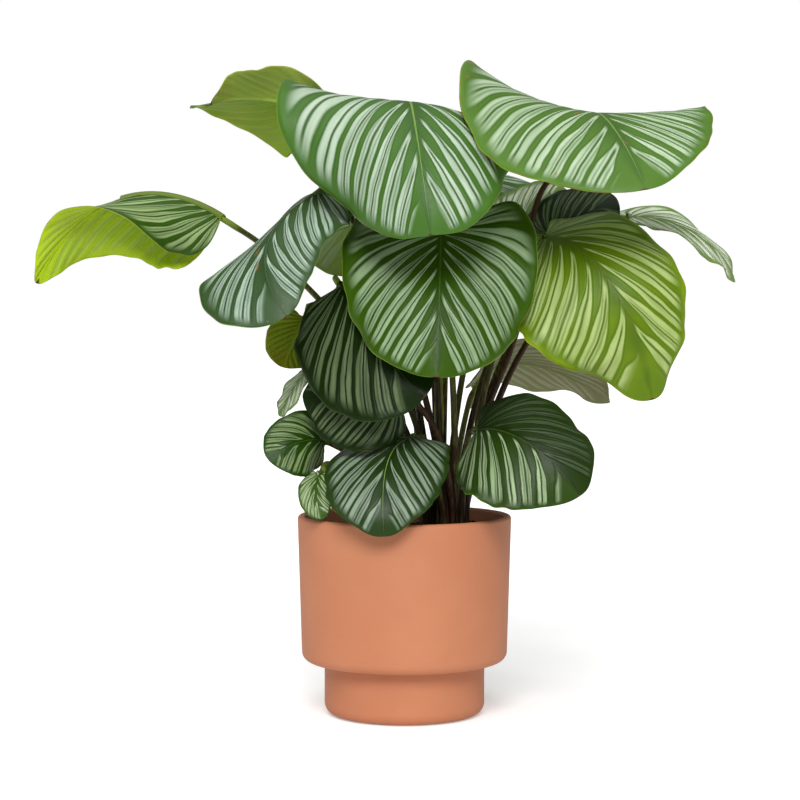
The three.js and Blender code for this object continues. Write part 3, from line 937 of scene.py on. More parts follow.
def register(piece: bpy.types.Object, node: str, materials: list) -> None:
    """Dresses a piece and ties it to the CAD node that it stands for.

    Args:
        piece: The piece.
        node: The CAD node.
        materials: The piece's materials, in slot order.
    """
    piece.data.materials.clear()
    for material in materials:
        piece.data.materials.append(material)
    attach(piece, "root")
    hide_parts(node)
    log.info("%s: %d faces", piece.name, len(piece.data.polygons))


# ---------------------------------------------------------------- the pot and its soil


@dataclass
class Pot:
    """The stepped pot, in millimetres. Edges sharper than the sharpest angle stay crisp."""

    height: float = 224
    rim_radius: float = 120
    body_radius: float = 115.5
    body_bottom: float = 60
    body_round: float = 11
    step_round: float = 2.5
    foot_radius: float = 90
    foot_round: float = 13
    rim_round: float = 3.8
    wall: float = 8.5
    floor: float = 12
    sides: int = 160
    sharpest: float = 38
    finish: ClayFinish = field(default_factory=ClayFinish)

    @property
    def body_inside(self) -> float:
        """The inside radius at the bottom of the body."""
        return self.body_radius - self.wall

    @property
    def shelf_inside(self) -> float:
        """The height of the step inside."""
        return self.body_bottom + self.wall

    def wall_inside(self, height: float) -> float:
        """The inside radius at a height above the step."""
        rise = (height - self.shelf_inside) / (self.height - self.rim_round - self.shelf_inside)
        return self.body_inside + rise * (self.rim_radius - self.wall - self.body_inside)

    @staticmethod
    def arc(x: float, z: float, radius: float, start: float, end: float, steps: int) -> list:
        """Points on a circle in the pot's profile, from one angle to another in degrees."""
        angles = [math.radians(start + (end - start) * i / steps) for i in range(steps + 1)]
        return [(x + radius * math.cos(a), z + radius * math.sin(a)) for a in angles]

    def profile(self) -> list[tuple[float, float]]:
        """The line from the edge of the underside, over the lip, to the inside floor.

        Returns:
            The radius and the height of each point.
        """
        lip = self.height - self.rim_round
        inner_lip = self.rim_radius - self.wall + self.rim_round
        soft = self.step_round
        step_x = self.body_radius - self.body_round
        foot_x = self.foot_radius - self.foot_round
        return [
            *self.arc(foot_x, self.foot_round, self.foot_round, -90, 0, 10),
            (self.foot_radius, self.body_bottom - soft),
            *self.arc(self.foot_radius + soft, self.body_bottom - soft, soft, 180, 90, 4),
            *self.arc(step_x, self.body_bottom + self.body_round, self.body_round, -90, 0, 12),
            *self.arc(self.rim_radius - self.rim_round, lip, self.rim_round, 0, 90, 6),
            *self.arc(inner_lip, lip, self.rim_round, 90, 180, 6),
            (self.body_inside, self.shelf_inside),
            (self.foot_radius - self.wall, self.shelf_inside),
            (self.foot_radius - self.wall, self.floor),
        ]

    def build(self, dresser: Dresser) -> bpy.types.Object:
        """Draws the pot up from its underside, as a potter pulls a wall.

        Args:
            dresser: Makes the material.

        Returns:
            The pot.
        """
        line = self.profile()
        clear_selection()
        radius, height = line[0]
        bpy.ops.mesh.primitive_circle_add(
            vertices=self.sides, radius=radius * MM, fill_type="NGON", location=(0, 0, height * MM)
        )
        piece = bpy.context.object
        piece.name = "pot_clay"
        bpy.ops.object.transform_apply(location=True, rotation=False, scale=False)
        with editing(piece):
            for next_radius, next_height in line[1:]:
                rise = (0, 0, (next_height - height) * MM)
                bpy.ops.mesh.extrude_region_move(TRANSFORM_OT_translate={"value": rise})
                share = next_radius / radius
                bpy.ops.transform.resize(
                    value=(share, share, 1), center_override=(0, 0, next_height * MM)
                )
                radius, height = next_radius, next_height
            bpy.ops.mesh.select_all(action="SELECT")
            bpy.ops.mesh.normals_make_consistent(inside=False)
        bpy.ops.object.shade_smooth_by_angle(angle=math.radians(self.sharpest))
        register(piece, "pot", [dresser.clay("matt_clay", self.finish)])
        return piece


@dataclass
class Soil:
    """The potting mix in the pot, with the mound of the root ball, in millimetres.

    Attributes:
        pot: The pot that holds it.
        level: Its height at the pot's wall.
        wall_gap: Its distance from the wall.
        mound: How much higher the root ball stands.
        mound_radius: The root ball's radius.
        lump: The height of the broad lumps.
        lump_sizes: Their sizes along x and y, and how they shear.
        heap: The loose heap's x, y, radius and height.
        centre: The middle of the root ball.
        depth: How far the skirt reaches down the wall.
        rows: Where, as shares of the grid's rows, the top ends, the skirt's foot and the flat
            underside start.
        grain: The height of its grain.
        grain_size: The size of its grain.
        crumbs: How many loose crumbs lie on it.
        crumb_size: The least and the greatest size of a crumb.
        crumb_shape: How far a crumb's corners stand out, at least and at most.
        crumb_lift: How far a crumb sticks out of the soil, as a share of its size.
        crumb_room: How far the crumbs keep from the wall.
        seed: Sets the crumbs' chance.
        finish: Its colours.
    """

    pot: Pot
    level: float = 198
    wall_gap: float = 0.6
    mound: float = 16
    mound_radius: float = 52
    lump: float = 1.3
    lump_sizes: Point = (7.3, 6.1, 19)
    heap: tuple[float, float, float, float] = (66, 60, 26, 13)
    centre: tuple[float, float] = (43, 6)
    depth: float = 40
    rows: tuple[float, float, float] = (0.86, 0.9, 0.97)
    grain: float = 1.6
    grain_size: float = 5
    crumbs: int = 1100
    crumb_size: tuple[float, float] = (0.7, 2.4)
    crumb_shape: tuple[float, float] = (0.6, 1.25)
    crumb_lift: float = 0.2
    crumb_room: float = 3
    seed: int = 7
    finish: SoilFinish = field(default_factory=SoilFinish)

    def height(self, x: float, y: float) -> float:
        """The height of the surface, without its grain.

        Args:
            x: The place from left to right.
            y: The place from front to back.

        Returns:
            The height.
        """
        away = math.hypot(x - self.centre[0], y - self.centre[1]) / self.mound_radius
        size_x, size_y, shear = self.lump_sizes
        lumps = self.lump * math.sin(x / size_x) * math.cos(y / size_y + x / shear)
        return self.level + self.mound * math.exp(-(away**4)) + lumps

    def surface(self, x: float, y: float) -> float:
        """The height of the surface, with its grain and the loose heap beside the stalks.

        Args:
            x: The place from left to right.
            y: The place from front to back.

        Returns:
            The height.
        """
        rough = noise.fractal(Vector((x / self.grain_size, y / self.grain_size, 0)), 0.9, 2.2, 4)
        heap_x, heap_y, heap_radius, heap_height = self.heap
        away = math.hypot(x - heap_x, y - heap_y) / heap_radius
        top = self.level + heap_height * math.exp(-(away**3))
        return max(self.height(x, y), top) + self.grain * rough

    def build(self, dresser: Dresser) -> bpy.types.Object:
        """Makes the soil as one closed body, and presses loose crumbs into its top.

        Args:
            dresser: Makes the material.

        Returns:
            The soil.
        """
        radius = self.pot.wall_inside(self.level) - self.wall_gap

        def lay(x: np.ndarray, y: np.ndarray) -> np.ndarray:
            """Rolls the grid into a disc, with a skirt down the wall and a flat underside.

            Args:
                x: The grid's own numbers across.
                y: The same along.

            Returns:
                The places.
            """
            edge, skirt, underside = self.rows
            places = np.empty((len(x), 3))
            for i, (turn, out) in enumerate(zip(x, (y + 1) / 2)):
                angle = -math.pi * turn
                reach = radius * min(out / edge, 1.0)
                px, py = reach * math.cos(angle), reach * math.sin(angle)
                top = self.surface(px, py)
                if out > skirt:
                    top = self.level - self.depth
                if out > underside:
                    px, py = 0.0, 0.0
                places[i] = (px, py, top)
            return places * MM

        piece = laid_sheet("potting_mix", 150, 60, lay, "round", lambda x, y: (x, y))
        crumbs = self.scatter_crumbs(radius - self.crumb_room)
        focus(piece)
        crumbs.select_set(True)
        bpy.ops.object.join()
        register(piece, "soil", [dresser.soil("potting_mix", self.finish)])
        return piece

    def scatter_crumbs(self, radius: float) -> bpy.types.Object:
        """Lays loose crumbs on the soil.

        Args:
            radius: How far out they lie.

        Returns:
            All of them in one piece.
        """
        chance = np.random.default_rng(self.seed)
        clear_selection()
        bpy.ops.mesh.primitive_ico_sphere_add(subdivisions=1, radius=1)
        crumb = bpy.context.object
        shape = np.array([v.co for v in crumb.data.vertices])
        faces = [list(p.vertices) for p in crumb.data.polygons]
        points: list = []
        cells: list = []
        for _ in range(self.crumbs):
            reach = radius * math.sqrt(chance.uniform(0, 1))
            angle = chance.uniform(0, 2 * math.pi)
            x, y = reach * math.cos(angle), reach * math.sin(angle)
            size = chance.uniform(*self.crumb_size) ** 1.2
            jag = shape * chance.uniform(*self.crumb_shape, (len(shape), 3)) * size
            start = len(points)
            points.extend(jag + np.array([x, y, self.surface(x, y) + self.crumb_lift * size]))
            cells.extend([[start + i for i in face] for face in faces])
        crumb.data.clear_geometry()
        crumb.data.from_pydata([tuple(p * MM) for p in points], [], cells)
        crumb.data.update()
        return crumb


# ---------------------------------------------------------------- leaves


def between(first: object, last: object, share: object) -> object:
    """The value at a share of the way from the first to the last."""
    return first + (last - first) * share


@dataclass(frozen=True)
class Half:
    """One half of a blade.

    Attributes:
        width: Its greatest width, in millimetres.
        fold_base: The angle by which it leaves the midrib at the base, in degrees.
        fold_tip: The same at the tip.
        bend_base: The angle by which it bends on from there to its margin, at the base.
        bend_tip: The same at the tip.
    """

    width: float
    fold_base: float = 0
    fold_tip: float = 0
    bend_base: float = 0
    bend_tip: float = 0


class Tone(Enum):
    """The sort of each leaf, named by its colour."""

    GREEN = "leaf_green"
    DARK = "leaf_dark"
    BLUE = "leaf_blue"
    LIME = "leaf_lime"
    PALE = "leaf_pale"
    OLIVE = "leaf_olive"


@dataclass(frozen=True)
class StalkForm:
    """What all stalks share, as in the solids. Lengths are in millimetres.

    Attributes:
        foot_radius: The radius at the foot.
        top_radius: The radius under the joint.
        neck_radius: The joint's radius.
        neck_length: The joint's length.
        lean_out: How far over a stalk has leant halfway up, as a share of its whole lean.
        depth: How deep it stands in the soil.
        straight: How far it rises straight.
        pitch: The distance between neighbours in the clump.
        gap: Its distance from the blade.
        joint_start: Where the joint swells, as a share of its length, down from the top.
        joint_soft: How softly it does.
        sheath: Where the sheath ends, as a share of the stalk's length, and how much that varies.
        sheath_fade: How soon its margin starts there.
        sheath_lip: How thick the margin is.
        flutes: How many shallow flutes run up the stalk.
        flute: Their height.
        slack: How much slimmer than its solid it is, to leave room for them.
    """

    foot_radius: float = 4.0
    top_radius: float = 3.2
    neck_radius: float = 3.6
    neck_length: float = 16.0
    lean_out: float = 0.3
    depth: float = 15.0
    straight: float = 16.0
    pitch: float = 10.6
    gap: float = 0.35
    joint_start: float = 1.6
    joint_soft: float = 1.6
    sheath: tuple[float, float] = (0.34, 0.12)
    sheath_fade: float = 0.08
    sheath_lip: float = 0.35
    flutes: int = 5
    flute: float = 0.1
    slack: float = 0.15


STALK = StalkForm()


class Curve:
    """A smooth line in space, read by the share of its length."""

    SAMPLES = 400

    def __init__(self, draw: Callable[[np.ndarray], np.ndarray]) -> None:
        """Measures the line.

        Args:
            draw: Gives the places for values from 0 to 1.
        """
        self.draw = draw
        self.steps = np.linspace(0, 1, self.SAMPLES + 1)
        places = draw(self.steps)
        pieces = np.linalg.norm(np.diff(places, axis=0), axis=1)
        self.reach = np.concatenate([[0.0], np.cumsum(pieces)])

    @property
    def length(self) -> float:
        """The line's length."""
        return float(self.reach[-1])

    def at(self, share: np.ndarray) -> tuple[np.ndarray, np.ndarray]:
        """The places and directions at shares of the length.

        Args:
            share: The shares.

        Returns:
            The places and the directions.
        """
        spot = np.interp(np.clip(share, 0, 1) * self.length, self.reach, self.steps)
        small = 1e-4
        before = self.draw(np.clip(spot - small, 0, 1))
        after = self.draw(np.clip(spot + small, 0, 1))
        way = after - before
        return self.draw(spot), way / np.linalg.norm(way, axis=1, keepdims=True)


def side_vein(a: np.ndarray, r: np.ndarray, sweep: float) -> np.ndarray:
    """Which side vein crosses the point at a along and r out, from 0 at the stalk to 1."""
    return a ** (BLADE.vein_start + sweep * r**BLADE.vein_turn)


def rib_curve(points: tuple[Point, ...]) -> Curve:
    """The midrib: one cubic curve that passes through four points.

    Args:
        points: The four points.

    Returns:
        The curve.
    """
    a, b, c, d = (np.array(point, float) for point in points)
    first = (-5 * a + 18 * b - 9 * c + 2 * d) / 6
    second = (2 * a - 9 * b + 18 * c - 5 * d) / 6

    def draw(t: np.ndarray) -> np.ndarray:
        """The cubic's place.

        Args:
            t: Values from 0 to 1.

        Returns:
            The place for each.
        """
        t = t[:, None]
        return (
            (1 - t) ** 3 * a + 3 * (1 - t) ** 2 * t * first + 3 * (1 - t) * t**2 * second + t**3 * d
        )

    return Curve(draw)


def threaded_curve(points: list[np.ndarray]) -> Curve:
    """A smooth line through any number of points, which turns least between close ones.

    Args:
        points: The points.

    Returns:
        The curve.
    """
    ends = [2 * points[0] - points[1], *points, 2 * points[-1] - points[-2]]
    knots = np.array(ends)
    gaps = np.sqrt(np.linalg.norm(np.diff(knots, axis=0), axis=1))

    def draw(t: np.ndarray) -> np.ndarray:
        """The line's place.

        Args:
            t: Values from 0 to 1.

        Returns:
            The place for each.
        """
        scaled = np.clip(t, 0, 1) * (len(points) - 1)
        cell = np.minimum(scaled.astype(int), len(points) - 2)
        weight = (scaled - cell)[:, None]
        p0, p1, p2, p3 = (knots[cell + i] for i in range(4))
        d0, d1, d2 = (gaps[cell + i][:, None] for i in range(3))
        start = ((p1 - p0) / d0 - (p2 - p0) / (d0 + d1) + (p2 - p1) / d1) * d1
        end = ((p2 - p1) / d1 - (p3 - p1) / (d1 + d2) + (p3 - p2) / d2) * d1
        square = -3 * p1 + 3 * p2 - 2 * start - end
        cube = 2 * p1 - 2 * p2 + start + end
        return p1 + start * weight + square * weight**2 + cube * weight**3

    return Curve(draw)


@dataclass
class Leaf:
    """One leaf: its blade and its stalk. Places are in millimetres.

    Attributes:
        name: Its name in the solids.
        tone: Its sort; not used.
        finish: Its colours.
        slot: The stalk's place in the clump.
        rib: Four points that the midrib passes through, from the stalk to the tip.
        side: The way from the midrib to the right margin, at the base and, if it differs, the tip.
        right: The right half, seen from the stalk with the upper face up.
        left: The left half.
        wave: The height of the margin's waves and their number.
        lobe: How far the base lobes reach back, as a share of the length.
        apex: The drawn-out tip, as a share of the length.
        taper: How much wider the base is than the tip.
        via: Points that the stalk passes through.
        curls: Places where the margin bends further: its side (1 right, -1 left), the place and
            the spread as shares of the length, and the angle in degrees.
        ruffle: The height of the small waves along the margin.
        unevenness: How far the margin is drawn in between its small lobes.
    """

    name: str
    tone: Tone
    finish: LeafFinish
    slot: tuple[int, int]
    rib: tuple[Point, ...]
    side: tuple[Point, ...]
    right: Half
    left: Half
    wave: tuple[float, float] = (3, 3)
    lobe: float = 0.35
    apex: float = 0.04
    taper: float = 0.0
    via: tuple[Point, ...] = ()
    curls: tuple[tuple[float, float, float, float], ...] = ()
    ruffle: float = 1.1
    unevenness: float = 3.2

    def __post_init__(self) -> None:
        """Measures the midrib."""
        self.curve = rib_curve(self.rib)
        self.seed = float(sum(ord(letter) for letter in self.name) % 97)

    @property
    def is_small(self) -> bool:
        """Whether the blade is one of the small ones."""
        return max(self.left.width, self.right.width) < 50

    def frame_at(self, share: np.ndarray) -> tuple[np.ndarray, ...]:
        """The midrib's places and its directions along, to the right and up, at shares.

        Args:
            share: Shares of the midrib's length, which may lie beyond its ends.

        Returns:
            The places and the three directions.
        """
        t = np.clip(share, 0, 1)
        place, along = self.curve.at(t)
        base, tip = np.array(self.side[0], float), np.array(self.side[-1], float)
        side = between(base, tip, t[:, None])
        side -= along * np.sum(side * along, axis=1, keepdims=True)
        side /= np.linalg.norm(side, axis=1, keepdims=True)
        up = np.cross(side, along)
        place = place + along * ((share - t) * self.curve.length)[:, None]
        return place, along, side, up

    def flat_point(self, width: np.ndarray, a: np.ndarray, r: np.ndarray) -> tuple:
        """A point of the flat blade, by its side vein a and the share r along that vein.

        Args:
            width: The width of the half that the point is on.
            a: Picks the side vein, from 0 at the stalk to 1 at the tip.
            r: Runs along the vein, from 0 at the midrib to 1 at the margin.

        Returns:
            The distances from the midrib and from the stalk.
        """
        length = self.curve.length
        phi = np.pi * a**0.9
        drawn = self.apex * np.exp(-(((np.pi - phi) / BLADE.apex_width) ** 2))
        sine = np.clip(np.sin(phi), 0, 1)
        taper = 1 + self.taper * np.cos(phi)
        end_x = BLADE.neck * (1 - a) ** 4 + width * sine**BLADE.fullness * taper
        end_x = np.where(a < 1, end_x, 0.0)
        full = (1 - self.apex) * (1 - np.cos(phi)) / 2
        back = self.lobe * sine * np.cos(phi / 2) ** 6
        end_y = length * (full + drawn - back)
        start = length * a**BLADE.sweep
        middle_x = BLADE.vein_out * end_x
        middle_y = start + BLADE.vein_up * (end_y - start)
        x = 2 * r * (1 - r) * middle_x + r * r * end_x
        y = (1 - r) ** 2 * start + 2 * r * (1 - r) * middle_y + r * r * end_y
        return x, y

    def surface(self, a: np.ndarray, across: np.ndarray) -> tuple[np.ndarray, np.ndarray]:
        """The upper face of the blade.

        Args:
            a: Picks the side vein, from 0 at the stalk to 1 at the tip.
            across: Runs along the vein, from -1 at the left margin to 1 at the right one.

        Returns:
            The places, and the flat distance of each from the midrib.
        """
        hand = np.where(across < 0, -1.0, 1.0)
        r = np.abs(across)

        def pick(key: str) -> np.ndarray:
            """A value of the half that each point is on."""
            return np.where(hand > 0, getattr(self.right, key), getattr(self.left, key))

        width = pick("width")
        x, y = self.flat_point(width, a, r)
        share = y / self.curve.length
        t = np.clip(share, 0, 1)
        fold = np.radians(between(pick("fold_base"), pick("fold_tip"), t))
        bend = between(pick("bend_base"), pick("bend_tip"), t)
        for curled, middle, spread, most in self.curls:
            curl = most * np.exp(-(((share - middle) / spread) ** 2))
            bend = bend + np.where(hand == curled, curl, 0)
        bend = np.radians(bend)
        bend = np.where(np.abs(bend) < 1e-4, 1e-4, bend)
        end = fold + bend * x / width
        out = (np.sin(end) - np.sin(fold)) * width / bend
        rise = (np.cos(fold) - np.cos(end)) * width / bend
        calm = np.sqrt(np.clip(np.sin(np.pi * a), 0, 1))
        wave = self.wave[0] * r**3 * np.sin(2 * np.pi * self.wave[1] * a) * calm
        # The margin is ruffled up and down, and drawn in between small lobes.
        turns = 2 * np.pi * a
        large = np.minimum(width / BLADE.ruffled_width, 1)
        few, many = BLADE.ruffles
        small = np.sin(few * turns + self.seed + hand) + 0.5 * np.sin(many * turns - self.seed)
        wave = wave + self.ruffle * large**2 * r**6 * small * calm
        few, many = BLADE.lobes
        uneven = np.sin(few * turns + 2 * self.seed - hand)
        uneven = uneven + np.sin(many * turns + self.seed + 2 * hand)
        drawn_in = 1 - self.unevenness * large / width * (0.5 + 0.25 * uneven) * r**6 * calm
        out, rise = out * drawn_in, rise * drawn_in
        # The blade is pleated along its bands and grooved over the midrib.
        counted = side_vein(a, r, self.finish.sweep) * self.finish.bands
        counted = counted + np.where(hand > 0, BLADE.vein_shift, 0.0)
        (inner, rising), (outer, falling) = BLADE.pleated
        ramp = np.clip((r - inner) / rising, 0, 1) * (1 - np.clip((r - outer) / falling, 0, 1))
        wave = wave - BLADE.pleat * np.cos(2 * np.pi * counted) * ramp * calm
        wave = wave - BLADE.groove * np.exp(-((x / BLADE.groove_width) ** 2)) * (1 - a)
        place, _, side, up = self.frame_at(share)
        place = place + side * (hand * (out - wave * np.sin(end)))[:, None]
        place = place + up * (rise + wave * np.cos(end))[:, None]
        return place, x

    def build_blade(self, dresser: Dresser) -> bpy.types.Object:
        """Makes the blade: its upper face, then its underside with the midrib's ridge.

        Args:
            dresser: Makes the materials.

        Returns:
            The blade.
        """
        across, along = GRID.small if self.is_small else GRID.large
        deepest = BLADE.wall + BLADE.rib_depth

        def vein(y: np.ndarray) -> np.ndarray:
            """Side veins, closer together at the base and the tip."""
            q = (y + 1) / 2
            return (1 - 2 * GRID.ends) * q + GRID.ends * (1 - np.cos(np.pi * q))

        def spread(x: np.ndarray) -> np.ndarray:
            """Points along a vein, closer together at the midrib."""
            return np.sign(x) * np.abs(x) ** GRID.middle

        def lay(x: np.ndarray, y: np.ndarray) -> np.ndarray:
            """The upper face."""
            return self.surface(vein(y), spread(x))[0] * MM

        def to_map(x: np.ndarray, y: np.ndarray) -> tuple[np.ndarray, np.ndarray]:
            """The grid's own numbers, from which the material works out the side veins."""
            return (y + 1) / 2, (x + 1) / 2

        def wall(x: np.ndarray, y: np.ndarray) -> np.ndarray:
            """The wall's share of its greatest thickness, which is under the midrib.

            Args:
                x: The grid's own numbers across.
                y: The same along.

            Returns:
                The shares.
            """
            a = vein(y)
            away = self.surface(a, spread(x))[1]
            width = between(BLADE.rib_width, BLADE.rib_tip_width, a)
            ridge = np.sqrt(np.clip(1 - (away / width) ** 2, 0, 1))
            depth = between(BLADE.rib_depth, BLADE.rib_tip_depth, a)
            fall = np.clip((1 - a) / 0.06, 0, 1)
            return (BLADE.wall + ridge * depth * fall) / deepest

        piece = laid_sheet(f"blade_{self.name}", across, along, lay, "veins", to_map, wall)
        split_along_veins(piece)
        upper = dresser.upper_face(self.name, self.finish, self.seed)
        lower = dresser.lower_face(self.name, self.finish, self.seed)
        register(piece, f"leaf_{self.name}", [upper, lower])
        apply_modifier(
            piece,
            "SOLIDIFY",
            thickness=deepest * MM,
            offset=-1,
            vertex_group="wall",
            thickness_vertex_group=0.0,
            material_offset=1,
            material_offset_rim=0,
        )
        piece.vertex_groups.clear()
        return piece

    def stalk_curve(self, soil: Soil) -> Curve:
        """The stalk's line: up from its slot, out to its leaf and into the midrib.

        Args:
            soil: The soil that it stands in.

        Returns:
            The line.
        """
        place, along, _, up = (value[0] for value in self.frame_at(np.array([0.0])))
        foot, ground, clear = stalk_start(self.slot, soil)
        top = place - up * (BLADE.thickness + BLADE.rib_depth) / 2
        end = top - along * STALK.gap
        neck = top - along * STALK.neck_length
        last = top - along * STALK.neck_length / 3
        via = [np.array(point, float) for point in self.via]
        if not via:
            half = np.array([STALK.lean_out, STALK.lean_out, 0.5])
            via = [ground + half * (neck - ground)]
        return threaded_curve([foot, ground, clear, *via, neck, last, end])

    def build_stalk(self, soil: Soil, material: bpy.types.Material) -> bpy.types.Object:
        """Makes the stalk, with the sheath round its lower part and the joint at its top.

        Args:
            soil: The soil that it stands in.
            material: The stalk's finish.

        Returns:
            The stalk.
        """
        curve = self.stalk_curve(soil)
        neck = 1 - STALK.joint_start * STALK.neck_length / curve.length
        sheath_end = STALK.sheath[0] + STALK.sheath[1] * math.sin(self.seed)

        def radius(angle: np.ndarray, share: np.ndarray) -> np.ndarray:
            """The radius: slimmer upwards, with the sheath's lip and the thicker joint.

            Args:
                angle: The angle round the stalk.
                share: The share of its length.

            Returns:
                The radius.
            """
            slim = between(STALK.foot_radius, STALK.top_radius, share)
            joint = 1 / (1 + np.exp(-(share - neck) * curve.length / STALK.joint_soft))
            slim = slim * (1 - joint) + STALK.neck_radius * joint
            wrap = np.clip((sheath_end - share) / STALK.sheath_fade, 0, 1)
            turn = (angle + self.seed) % (2 * np.pi)
            lip = STALK.sheath_lip * wrap * (turn / (2 * np.pi))
            flute = STALK.flute * np.cos(STALK.flutes * angle + self.seed)
            return slim - STALK.slack + lip + flute

        def lay(x: np.ndarray, y: np.ndarray) -> np.ndarray:
            """Rolls the grid round the stalk's line.

            Args:
                x: The grid's own numbers across.
                y: The same along.

            Returns:
                The places.
            """
            share = (y + 1) / 2
            angle = np.pi * (x + 1)
            order = np.unique(np.round(share, 6), return_inverse=True)
            places, ways = curve.at(order[0])
            across = np.array([1.0, 0.0, 0.0])
            firsts = []
            for way in ways:
                across = across - way * across.dot(way)
                across = across / np.linalg.norm(across)
                firsts.append(across)
            first = np.array(firsts)[order[1]]
            way = ways[order[1]]
            second = np.cross(way, first)
            size = radius(angle, share)[:, None]
            ring = first * np.cos(angle)[:, None] + second * np.sin(angle)[:, None]
            return (places[order[1]] + ring * size) * MM

        piece = laid_sheet(f"stalk_{self.name}", 14, 90, lay, "round", to_round_map)
        close_ends(piece)
        register(piece, f"stem_{self.name}", [material])
        return piece


def stalk_start(slot: tuple[int, int], soil: Soil) -> list[np.ndarray]:
    """Where a stalk starts: its foot, its place on the ground, and where it may start to bend.

    Args:
        slot: Its column and row in the clump's honeycomb.
        soil: The soil, which holds the clump's centre.

    Returns:
        The three places, one above the other.
    """
    column, row = slot
    shift = 0.5 if row % 2 else 0.0
    x = soil.centre[0] + (column + shift) * STALK.pitch
    y = soil.centre[1] + row * STALK.pitch * math.sin(math.pi / 3)
    ground = np.array([x, y, soil.height(x, y)])
    return [ground + np.array([0, 0, rise]) for rise in (-STALK.depth, 0, STALK.straight)]


@dataclass
class NewLeaf:
    """The youngest leaf, still rolled into a spike, in millimetres.

    Attributes:
        slot: Its place in the clump.
        top: Its tip.
        profile: Its radius at shares of its length.
        winding: How far its free margin winds round it, in radians.
        margin: The margin's height.
        opening: How fast the margin stands out from the lower third up.
    """

    slot: tuple[int, int] = (-1, 1)
    top: Point = (40, 18, 402)
    profile: tuple[tuple[float, float], ...] = (
        (0, 4), (0.3, 3.6), (0.5, 4.8), (0.7, 5.4), (0.88, 3.4), (1, 0.8),
    )
    winding: float = 9.0
    margin: float = 0.5
    opening: float = 3

    def build(self, soil: Soil, material: bpy.types.Material) -> bpy.types.Object:
        """Rolls the leaf, with the free margin winding up it.

        Args:
            soil: The soil that it stands in.
            material: Its finish.

        Returns:
            The rolled leaf.
        """
        curve = threaded_curve([*stalk_start(self.slot, soil), np.array(self.top, float)])
        shares, sizes = zip(*self.profile)

        def lay(gx: np.ndarray, gy: np.ndarray) -> np.ndarray:
            """Rolls the grid round the spike's line.

            Args:
                gx: The grid's own numbers across.
                gy: The same along.

            Returns:
                The places.
            """
            share = (gy + 1) / 2
            angle = np.pi * (gx + 1)
            places, _ = curve.at(share)
            size = np.interp(share, shares, sizes)
            turn = (angle + share * self.winding) % (2 * np.pi)
            open_share = np.clip(share * self.opening - 1, 0, 1)
            size = size - self.margin / 2 + self.margin * open_share * turn / (2 * np.pi)
            offset = np.column_stack([np.cos(angle), np.sin(angle), np.zeros(len(angle))])
            return (places + offset * size[:, None]) * MM

        piece = laid_sheet("rolled_leaf", 22, 90, lay, "round", to_round_map)
        close_ends(piece)
        register(piece, "new_leaf", [material])
        return piece


# ---------------------------------------------------------------- the plant

BROAD = LeafFinish()
# The bright undersides are part the underside's own pale green, part painted light shining through
# the blade.
HIGH_RIGHT = tinted(
    BROAD, green=(76, 115, 32), dark=(46, 82, 22), silver=(187, 210, 174), border=(84, 126, 30),
    under_right=(150, 172, 74), under_left=(140, 172, 58), bands=12, spots=0.05, scorch=0.7,
)
# The bright lime undersides are part the underside's own pale green, part painted light shining
# through the blade.
FAR_LEFT = tinted(
    BROAD, green=(48, 82, 2), dark=(28, 56, 0), silver=(156, 180, 120), rib=(104, 126, 50),
    border=(56, 90, 2), edge=(176, 190, 60), under_right=(158, 188, 10), under_left=(170, 200, 0),
    scorch=0.5, dry_tip=0.012,
)
# The bright lime undersides are part the underside's own pale green, part painted light shining
# through the blade.
HIGH_LEFT = tinted(
    BROAD, dark=(90, 112, 40), silver=(140, 160, 90), edge=(196, 196, 60),
    under_right=(118, 152, 4), under_left=(152, 176, 68), scorch=0.5, dry_tip=0.012,
)
BLUE = tinted(
    BROAD, green=(54, 81, 42), dark=(33, 60, 30), silver=(174, 196, 176), rib=(84, 104, 50),
    border=(50, 78, 36), bands=9, width=0.66, spots=0.08,
)
GLOSSY = tinted(
    BROAD, green=(51, 82, 0), dark=(28, 56, 0), silver=(155, 180, 140), rib=(62, 96, 24),
    border=(58, 92, 2), edge=(160, 200, 60), bands=10, sweep=1.35, gloss=0.32,
)
# The lime leaf's finish: part its own yellow-green, part painted light shining through the thin
# blade.
LIME = tinted(
    BROAD, green=(92, 122, 0), dark=(66, 96, 0), silver=(176, 195, 120), rib=(96, 104, 30),
    border=(124, 152, 8), edge=(186, 208, 40), bands=10, width=0.76,
)
PALE = tinted(
    BROAD, green=(113, 143, 68), dark=(86, 115, 48), silver=(240, 250, 226), rib=(128, 148, 84),
    border=(113, 144, 64), bands=7, width=0.8, scorch=0.6,
)
UNDERSIDE = tinted(
    BROAD, green=(92, 108, 50), dark=(56, 64, 28), silver=(220, 224, 196), edge=(120, 130, 60),
    under_right=(122, 126, 84), under_left=(122, 126, 82), bands=13, width=0.5,
)
# Leaves deep in the clump: their darker greens are painted shade, added to the shade that the lamps
# cast there.
DEEP_PAINTED_SHADE = tinted(
    BROAD, green=(17, 36, 0), dark=(6, 19, 0), silver=(97, 115, 78), rib=(60, 84, 26),
    border=(22, 41, 2), edge=(70, 96, 24), under_right=(60, 76, 30), under_left=(60, 76, 30),
    bands=9, gloss=0.34, shine=0.14,
)
SMALL = tinted(
    DEEP_PAINTED_SHADE, green=(36, 68, 2), dark=(18, 42, 0), silver=(134, 156, 104), rib=(74, 104, 30),
    border=(38, 72, 2), edge=(60, 90, 16), bands=6, width=0.78,
)
# A lighter copy of SMALL for the leaf at the rim: painted light, where the lamps leave it in more
# shade.
RIM_PAINTED_LIGHT = tinted(
    SMALL, green=(58, 92, 22), dark=(34, 62, 6), silver=(180, 200, 152), border=(56, 88, 16),
    scorch=0.3,
)
